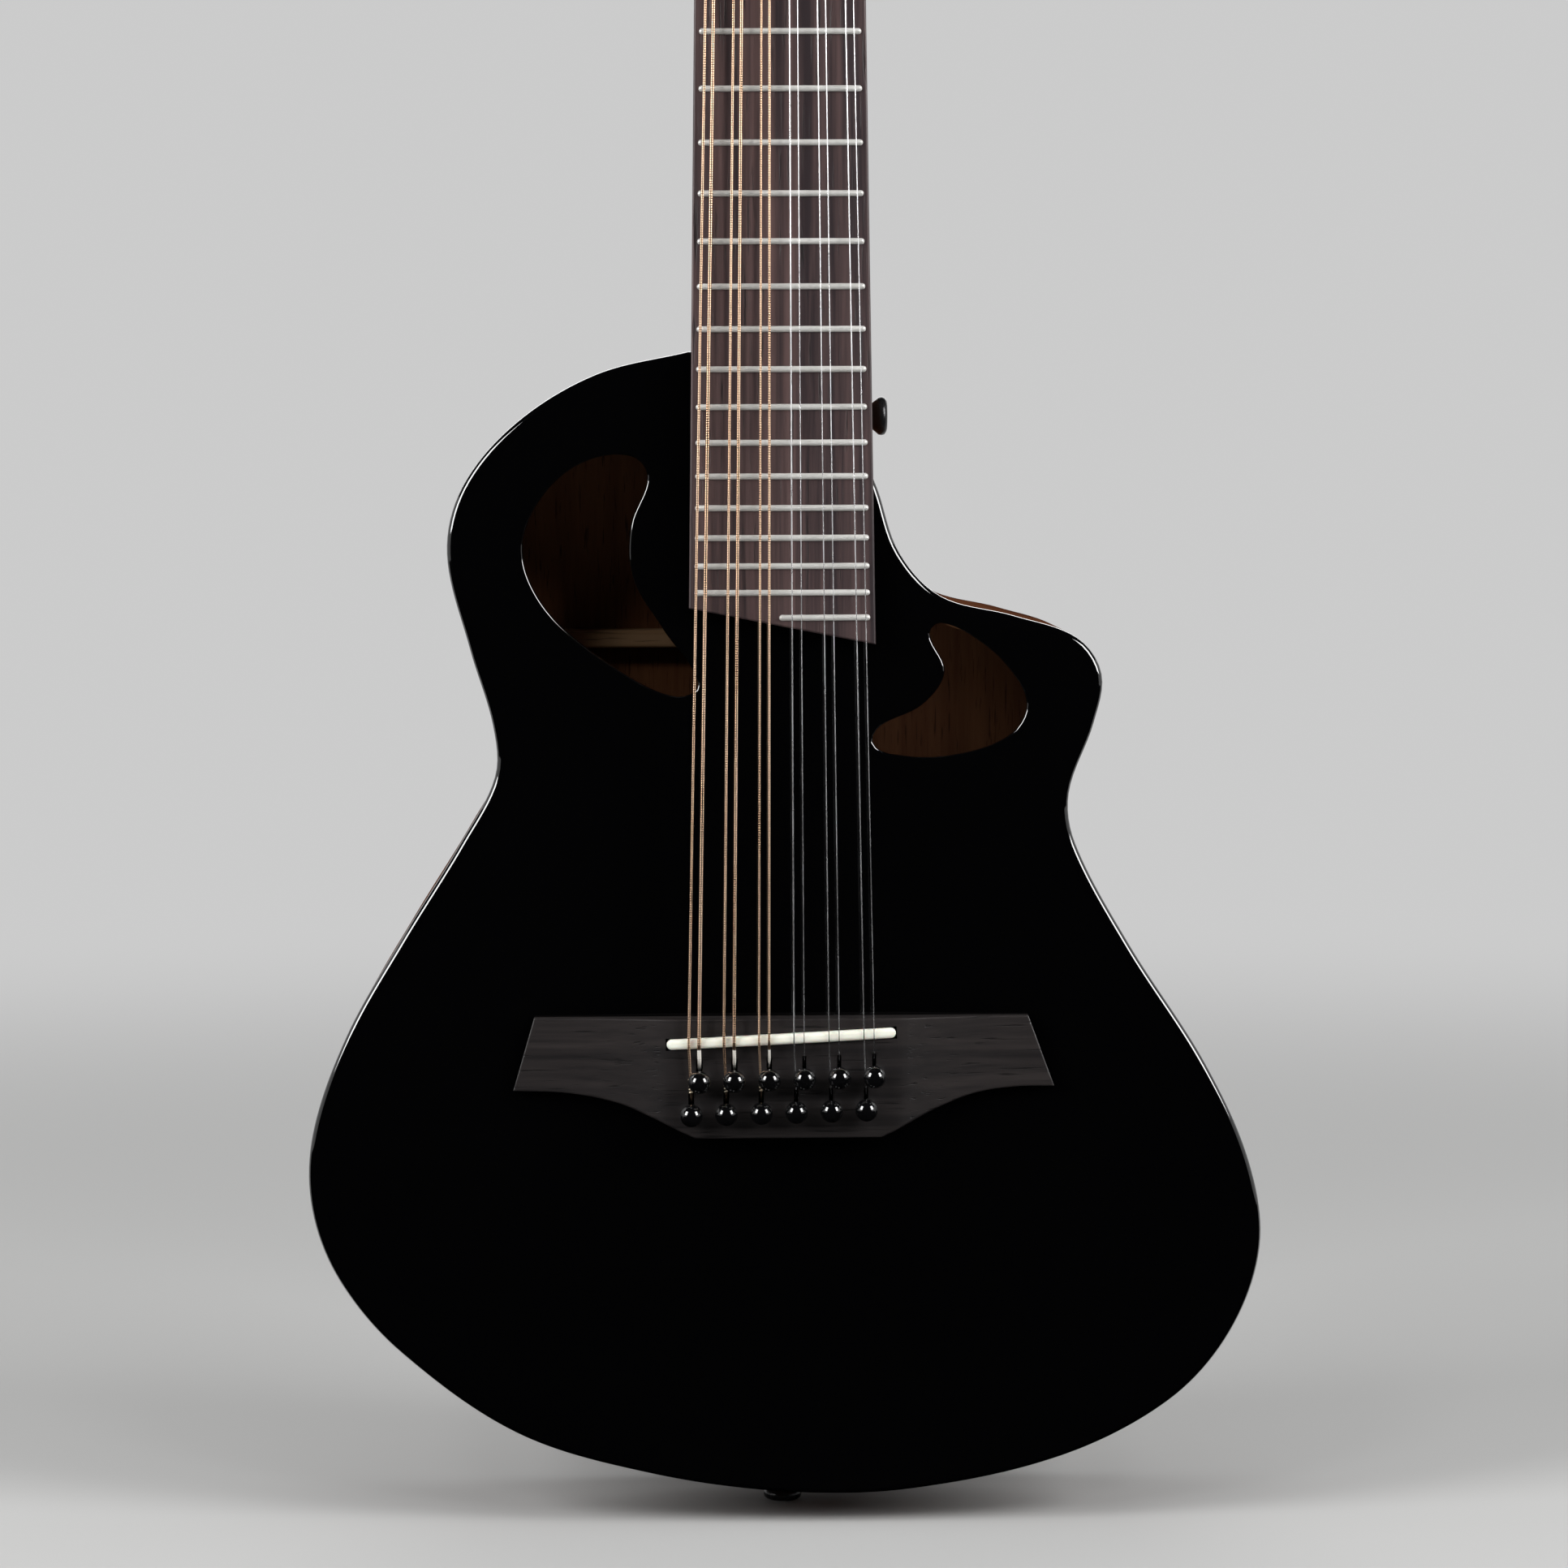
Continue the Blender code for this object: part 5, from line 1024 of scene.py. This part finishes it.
def pinPlace(index):
    shape = bridgeShape
    x = courseX(index, shape["pitch"], saddleShift - shape["pinLeft"], saddleShift + shape["pinRight"])
    return x, saddleZ + shape["upperPins" if index % 2 else "lowerPins"] + shape["pinSlant"] * x


def bridgeTall(x):  # full in the middle, hollowed down to both tips
    shape = bridgeShape
    share = max(0.0, (abs(x) - shape["block"]) / (shape["half"] - shape["block"]))
    return shape["tip"] + (shape["height"] - shape["tip"]) * max(0.0, 1 - share) ** shape["power"]


def makeBridge():
    shape, foot = bridgeShape, frontY - gap
    knots, fine, coarse = shape["outline"], shape["fine"], shape["coarse"]
    curved = lineThrough(knots[2:7], fine) + lineThrough(knots[7:9], coarse) + lineThrough(knots[9:], fine)
    bm = roundedPlate([lifted([Vector(knots[0]), Vector(knots[1])] + curved)], 0.0, shape["height"],
                      [shape["round"]], steps=4)
    stood(bm, foot)
    sliced(bm, 0, -shape["half"], shape["half"], shape["step"])
    for vert in bm.verts:
        vert.co.y = foot + (vert.co.y - foot) * bridgeTall(vert.co.x) / shape["height"]
    cutter, pins, notches = bmesh.new(), bmesh.new(), []
    addBox(cutter, (shape["saddleLength"] + 2 * gap, 2 * shape["slotDepth"], shape["saddleThick"] + 2 * gap),
           saddlePlace() @ shifted(0, bridgeTopY, 0))
    for index, size in enumerate(stringSizes):
        x, z = pinPlace(index)
        addBar(pins, shape["pinRadius"] + gap, 2.4 * shape["height"],
               shifted(x, bridgeTopY + shape["drillLow"], z) @ Matrix.Rotation(-pi / 2, 4, "X"), 32,
               shape["pinRadius"] * shape["drillTaper"] + gap)
        half, wall = size / 2 + gap * 1.6, z + shape["pinToString"] + size / 2 + gap
        end, over, under = z + shape["notchReach"], bridgeTopY - 0.002, bridgeTopY + 0.012
        side = [(over, z), (over, end), (bridgeTopY, end), (bridgeTopY + shape["notchDepth"], wall),
                (under, wall), (under, z)]
        notches.append(loft([[(at, *spot) for spot in side] for at in (x - half, x + half)]))
    for tool in (cutter, pins, joined(*notches)):
        bm = cutWith(bm, tool)
    makePiece("wood_bridge", bm, "bridgeWood", ["bridge"], weighted=True)
    half, low, high = shape["plateHalf"], saddleZ + shape["plateLow"], saddleZ + shape["plateHigh"]
    plate = roundedPlate([[Vector(p) for p in ((-half, low), (half, low), (half, high), (-half, high))]],
                         0.0, shape["plateThick"], [0.0], shape["plateRound"], steps=3)
    stood(plate, plateInsideY)
    makePiece("bridge_plate", plate, "insideWood")


def makeSaddle():
    half, thick = bridgeShape["saddleLength"] / 2, bridgeShape["saddleThick"] / 2
    floor = bridgeTopY + bridgeShape["slotDepth"] - gap
    tall = floor - saddleFoot(0.0) - gap
    plan = arc(half - thick, 0, thick, -90, 180, 12) + arc(thick - half, 0, thick, 90, 180, 12)
    bm = roundedPlate([plan], 0.0, tall, [bridgeShape["saddleRound"]], steps=6)
    stood(bm, floor)
    sliced(bm, 0, -half, half, bridgeShape["saddleStep"])
    for vert in bm.verts:
        share = (floor - vert.co.y) / tall
        vert.co.y = floor + (saddleFoot(vert.co.x + saddleShift) + gap - floor) * share
    bm.transform(saddlePlace())
    makePiece("bone_saddle", bm, "bone", ["saddle"], weighted=True)


pinShape = {"ball": 0.0036, "height": 0.0046, "neck": 0.0017, "collar": 0.0021, "tip": 0.0009}


def makePins():
    ball, height, neck = pinShape["ball"], pinShape["height"], pinShape["neck"]
    depth = plateInsideY - bridgeTopY
    profile = [(ball * cos(radians(a)) if a < 90 else 0.0, height + ball * sin(radians(a)))
               for a in range(90, -61, -6)]
    profile += [(neck, height - sqrt(ball**2 - neck**2) - 0.0001), (neck, 0.0008),
                (pinShape["collar"], 0.0003), (bridgeShape["pinRadius"], 0.0),
                (bridgeShape["pinEnd"], -depth), (pinShape["tip"], -depth - 0.0022), (0.0, -depth - 0.0030)]
    for index in range(stringCount):
        x, z = pinPlace(index)
        bm = spun(profile, 40, shifted(x, bridgeTopY, z) @ faceFront)
        makePiece(f"ball_pin_{label(index)}", bm, "pinPlastic", [f"bridge_pin_{label(index)}"], bend=40)


# Strings

stringShape = {"ballRadius": 0.0015, "ballLength": 0.0034, "sunk": 0.0022, "ridge": 0.0006, "corner": 0.0012,
               "end": 0.0004, "steps": 36}
twistShape = {"above": 0.0005, "beyondPin": 0.0064, "aboveSaddle": 0.0003, "length": 0.0052, "turns": 5,
              "clear": 0.00012, "radius": 0.00022, "steps": 60}


def eased(points, reach):  # rounds every corner of a line
    line = [points[0]]
    for before, here, after in zip(points, points[1:], points[2:]):
        start, end = [here + (other - here).normalized() * min(reach, (other - here).length * 0.45)
                      for other in (before, after)]
        for s in (0.0, 0.25, 0.5, 0.75, 1.0):
            line.append(start * (1 - s)**2 + here * 2 * s * (1 - s) + end * s**2)
    return line + [points[-1]]


def stringLine(index):  # its ball end, and its line up to its post
    size, shape = stringSizes[index], tunerShape
    radius = size / 2
    pinX, pinZ = pinPlace(index)
    drop, ballY = pinZ + bridgeShape["pinToString"], plateInsideY + gap
    x0, x1 = saddleX(index), nutX(index)
    ridge, saddleY, nutY = saddleCentre(x0), saddleFoot(x0) - radius, nutFoot(x1) - radius
    route = [Vector(spot) for spot in (
        (pinX, ballY, drop), (pinX, bridgeTopY + stringShape["sunk"], drop),
        (pinX, bridgeTopY - gap - radius, pinZ + bridgeShape["notchReach"]),
        (x0, saddleY, ridge - stringShape["ridge"]), (x0, saddleY, ridge + stringShape["ridge"]),
        (x1, nutY, nutZ + gap), (x1, nutY, nutZ + nutThick))]
    side, u, v = postPlace(index)
    wrap, height = shape["waist"] + gap + radius, shape["holeHeight"]
    rise = shape["turns"] * (size + shape["turnSpace"])
    local = headPlace.inverted() @ route[-1]
    reach = Vector((local.x - u, local.y - v))
    first = atan2(reach.y, reach.x) - side * atan2(sqrt(max(reach.length**2 - wrap**2, 0.0)), wrap)
    steps = round(shape["turns"] * stringShape["steps"])
    angles = [first - side * 2 * pi * i / stringShape["steps"] for i in range(steps + 1)]
    turns = [headPlace @ Vector((u + wrap * cos(a), v + wrap * sin(a), height - rise + rise * i / steps))
             for i, a in enumerate(angles)]
    inward = (headPlace @ Vector((u, v, height)) - turns[-1]).normalized()
    ball = [Vector((pinX, ballY + stringShape["ballLength"], drop)), Vector((pinX, ballY + gap, drop))]
    line = eased(route + turns[:1], stringShape["corner"])[:-1] + turns
    return ball, line + [turns[-1] + inward * stringShape["end"]]


def makeStrings():
    for index, size in enumerate(stringSizes):
        ball, line = stringLine(index)
        swell = stringShape["ballRadius"] / (size / 2)
        wound = index < perSide
        # the strings to the upper pins take the painted highlight below the saddle
        coat = ("woundSilverEnd" if index % 2 else "woundString") if wound else "steelString"
        bm = wire(ball + line, size / 2, 10 if wound else 8, [swell, swell] + [1.0] * len(line))
        makePiece(f"string_wire_{label(index)}", bm, coat, [f"string_{label(index)}"], bend=60)
        if wound and index % 2 == 0:
            makeTwist(index)


def makeTwist(index):  # the wire's own locking twist, beside a lower pin
    shape, x = twistShape, saddleX(index)
    pinX, pinZ = pinPlace(index)
    start = Vector((pinX, bridgeTopY - shape["above"], pinZ + shape["beyondPin"]))
    end = Vector((x, saddleFoot(x) - shape["aboveSaddle"], saddleCentre(x)))
    along = (end - start).normalized()
    side = along.orthogonal().normalized()
    over = along.cross(side)
    radius, steps, points = stringSizes[index] / 2 + shape["clear"], shape["steps"], []
    for i in range(steps + 1):
        angle = 2 * pi * shape["turns"] * i / steps
        points.append(start + along * shape["length"] * i / steps
                      + (side * cos(angle) + over * sin(angle)) * radius)
    makePiece(f"string_twist_{label(index)}", wire(points, shape["radius"], 6), "twistWire", bend=60)


# Strap buttons

strapShape = {  # spots are (radius, depth under the outer face), and those of the foot (radius, height)
    "tall": 0.0105, "heelZ": 0.195, "slot": (0.0028, 0.0005, 0.0014),
    "rim": ((0.0, 0.0006), (0.0026, 0.0006), (0.0027, 0.0001), (0.0030, 0.0), (0.0045, 0.0),
            (0.0053, 0.0003), (0.0060, 0.0009), (0.0062, 0.0018), (0.0060, 0.0028), (0.0050, 0.0039),
            (0.0039, 0.0052), (0.0034, 0.0062)),
    "foot": ((0.0035, 0.0030), (0.0042, 0.0018), (0.0050, 0.0009), (0.0052, 0.0004), (0.0051, 0.0),
             (0.0, 0.0)),
    "screw": ((0.0, 0.00025), (0.0012, 0.0003), (0.0021, 0.0005), (0.0025, 0.0008), (0.0025, 0.0012),
              (0.0, 0.0012))}


def makeStrapButtons():
    shape, tall = strapShape, strapShape["tall"]

    def below(spots):
        return [(radius, tall - depth) for radius, depth in spots]

    places = {"tail": shifted(0.0, 0.0, tall) @ Matrix.Rotation(pi, 4, "X"),
              "heel": shifted(bodyShape["heelX"] + gap, 0.0, saddleZ + shape["heelZ"]) @ alongX}
    for name, place in places.items():
        cross = bmesh.new()
        for turn in (0, pi / 2):
            addBox(cross, shape["slot"], shifted(0, 0, tall) @ Matrix.Rotation(turn, 4, "Z"))
        button = joined(spun(below(shape["rim"]) + list(shape["foot"])),
                        cutWith(spun(below(shape["screw"]), 32), cross))
        button.transform(place)
        makePiece(f"strap_peg_{name}", button, "blackMetal", [f"strap_button_{name}"], bend=50)


stages = {"the body": (makeSoundboard, makeSides, makeBack),
          "the neck": (makeNeck, makeFretboard, makeNut, makeHeadstock),
          "the tuners": (makeTuners,),
          "the bridge and strings": (makeBridge, makeSaddle, makePins, makeStrings, makeStrapButtons)}
for stage, makers in stages.items():
    print("making", stage)
    for make in makers:
        make()


# Studio and camera

studio = {"floor": (0.46, 0.46, 0.456), "air": 0.60, "fill": 0.03, "reach": 11.0, "near": 0.40, "far": 1.9}
card = {"half": 3.0, "near": 0.0, "far": -2.6, "lift": 0.002, "top": 1.5, "back": 1.6}
view = {"place": (-0.03, -1.4824, 0.345), "down": 0.074566, "right": 0.021117, "roll": -0.0035,
        "focal": 5665.3, "frame": 1932.0, "sensor": 36.0}
lamps = (  # name, place, aim, width, height, power
    ("left_box", (-1.39, -0.84, 0.98), (0.0, 0.0, 0.30), 0.75, 1.05, 31.0),
    ("right_box", (1.39, -0.84, 0.98), (0.0, 0.0, 0.30), 0.75, 1.05, 31.0),
    ("left_key", (-0.60, -1.45, 1.20), (0.0, 0.0, 0.25), 0.30, 0.30, 3.2),
    ("right_key", (0.60, -1.45, 1.20), (0.0, 0.0, 0.25), 0.30, 0.30, 3.2),
    ("overhead", (0.0, 0.2, 3.0), (0.0, 0.5, 0.0), 3.6, 3.0, 34.0),
    ("rear", (0.0, 3.2, 1.4), (0.0, 0.0, 0.4), 2.4, 1.6, 28.0),
)
unreflected = ("left_key", "right_key", "overhead")


def staged(name, bm, finish):
    made = linked(name, asMesh(bm, name))
    made.data.materials.append(finish.material)
    return made


def makeFloor():  # plain paper that fades into the air's own colour
    paper = Finish("pale_paper", None, Roughness=0.9, Specular_IOR_Level=0.1)
    cloud = paper.noise((1.2, 1.2, 1.2), 2.0)
    paper.shade(Base_Color=paper.mix(cloud, studio["floor"], tuple(c * 0.98 for c in studio["floor"])))
    air = paper.node("ShaderNodeEmission", {}, {"Color": (studio["air"],) * 3 + (1.0,),
                                                "Strength": paper.seen()})
    away = paper.node("ShaderNodeVectorMath", {"operation": "LENGTH"}, {0: paper.place()}, "Value")
    fade = paper.node("ShaderNodeMapRange", {"interpolation_type": "SMOOTHERSTEP"},
                      {"Value": away, "From Min": studio["near"], "From Max": studio["far"]})
    both = paper.node("ShaderNodeMixShader", {}, {0: fade, 1: Wire(paper, paper.shader.outputs[0]), 2: air})
    paper.feed(paper.tree.nodes["Material Output"].inputs["Surface"], both)
    bm = bmesh.new()
    bmesh.ops.create_circle(bm, cap_ends=True, radius=studio["reach"], segments=64)
    staged("floor", bm, paper)


def makeCard():  # black card that only reflections see, as studios use
    dark = Finish("black_card", None, Base_Color=(0.0, 0.0, 0.0, 1.0), Specular_IOR_Level=0.0)
    bends = ((card["near"], card["lift"]), (card["far"], card["lift"]), (card["far"], card["top"]),
             (card["back"], card["top"]))
    bm = bmesh.new()
    corners = [bm.verts.new((-card["half"], y, z)) for y, z in bends]
    edges = [bm.edges.new(pair) for pair in zip(corners, corners[1:])]
    grown = bmesh.ops.extrude_edge_only(bm, edges=edges)["geom"]
    far = [v for v in grown if isinstance(v, bmesh.types.BMVert)]
    bmesh.ops.translate(bm, verts=far, vec=(2 * card["half"], 0, 0))
    made = staged("black_card", bm, dark)
    made.visible_camera = made.visible_diffuse = made.visible_shadow = made.visible_transmission = False


def makeStudio():
    makeFloor()
    makeCard()
    world = bpy.data.worlds.new("room")
    bpy.context.scene.world = world
    world.use_nodes = True
    nodes = Nodes(world.node_tree)
    sockets = nodes.tree.nodes["Background"].inputs
    nodes.feed(sockets["Color"], (1.0, 1.0, 1.0, 1.0))
    nodes.feed(sockets["Strength"], nodes.node("ShaderNodeMapRange", {}, {
        "Value": nodes.seen(), "To Min": studio["fill"], "To Max": studio["air"]}))
    for name, place, aim, width, height, power in lamps:
        data = bpy.data.lights.new(name, "AREA")
        data.shape, data.size, data.size_y, data.energy = "RECTANGLE", width, height, power
        lamp = linked(name, data)
        lamp.location = place
        lamp.rotation_euler = (Vector(aim) - Vector(place)).to_track_quat("-Z", "Y").to_euler()
        lamp.visible_camera, lamp.visible_glossy = False, name not in unreflected


def makeCamera():
    down, aside, roll = view["down"], view["right"], view["roll"]
    ahead = Vector((sin(aside) * cos(down), cos(aside) * cos(down), -sin(down)))
    right = Vector((cos(aside), -sin(aside), 0.0))
    up = right.cross(ahead)
    axes = Matrix((right * cos(roll) + up * sin(roll), up * cos(roll) - right * sin(roll), -ahead))
    data = bpy.data.cameras.new("front_view")
    data.sensor_width, data.lens = view["sensor"], view["focal"] * view["sensor"] / view["frame"]
    data.clip_start, data.clip_end = 0.05, 30.0
    camera = linked("front_view", data)
    camera.matrix_world = Matrix.Translation(view["place"]) @ axes.transposed().to_4x4()
    bpy.context.scene.camera = camera
    bpy.context.scene.view_settings.view_transform = "Standard"


print("setting up the studio")
makeStudio()
makeCamera()
bpy.context.view_layer.update()
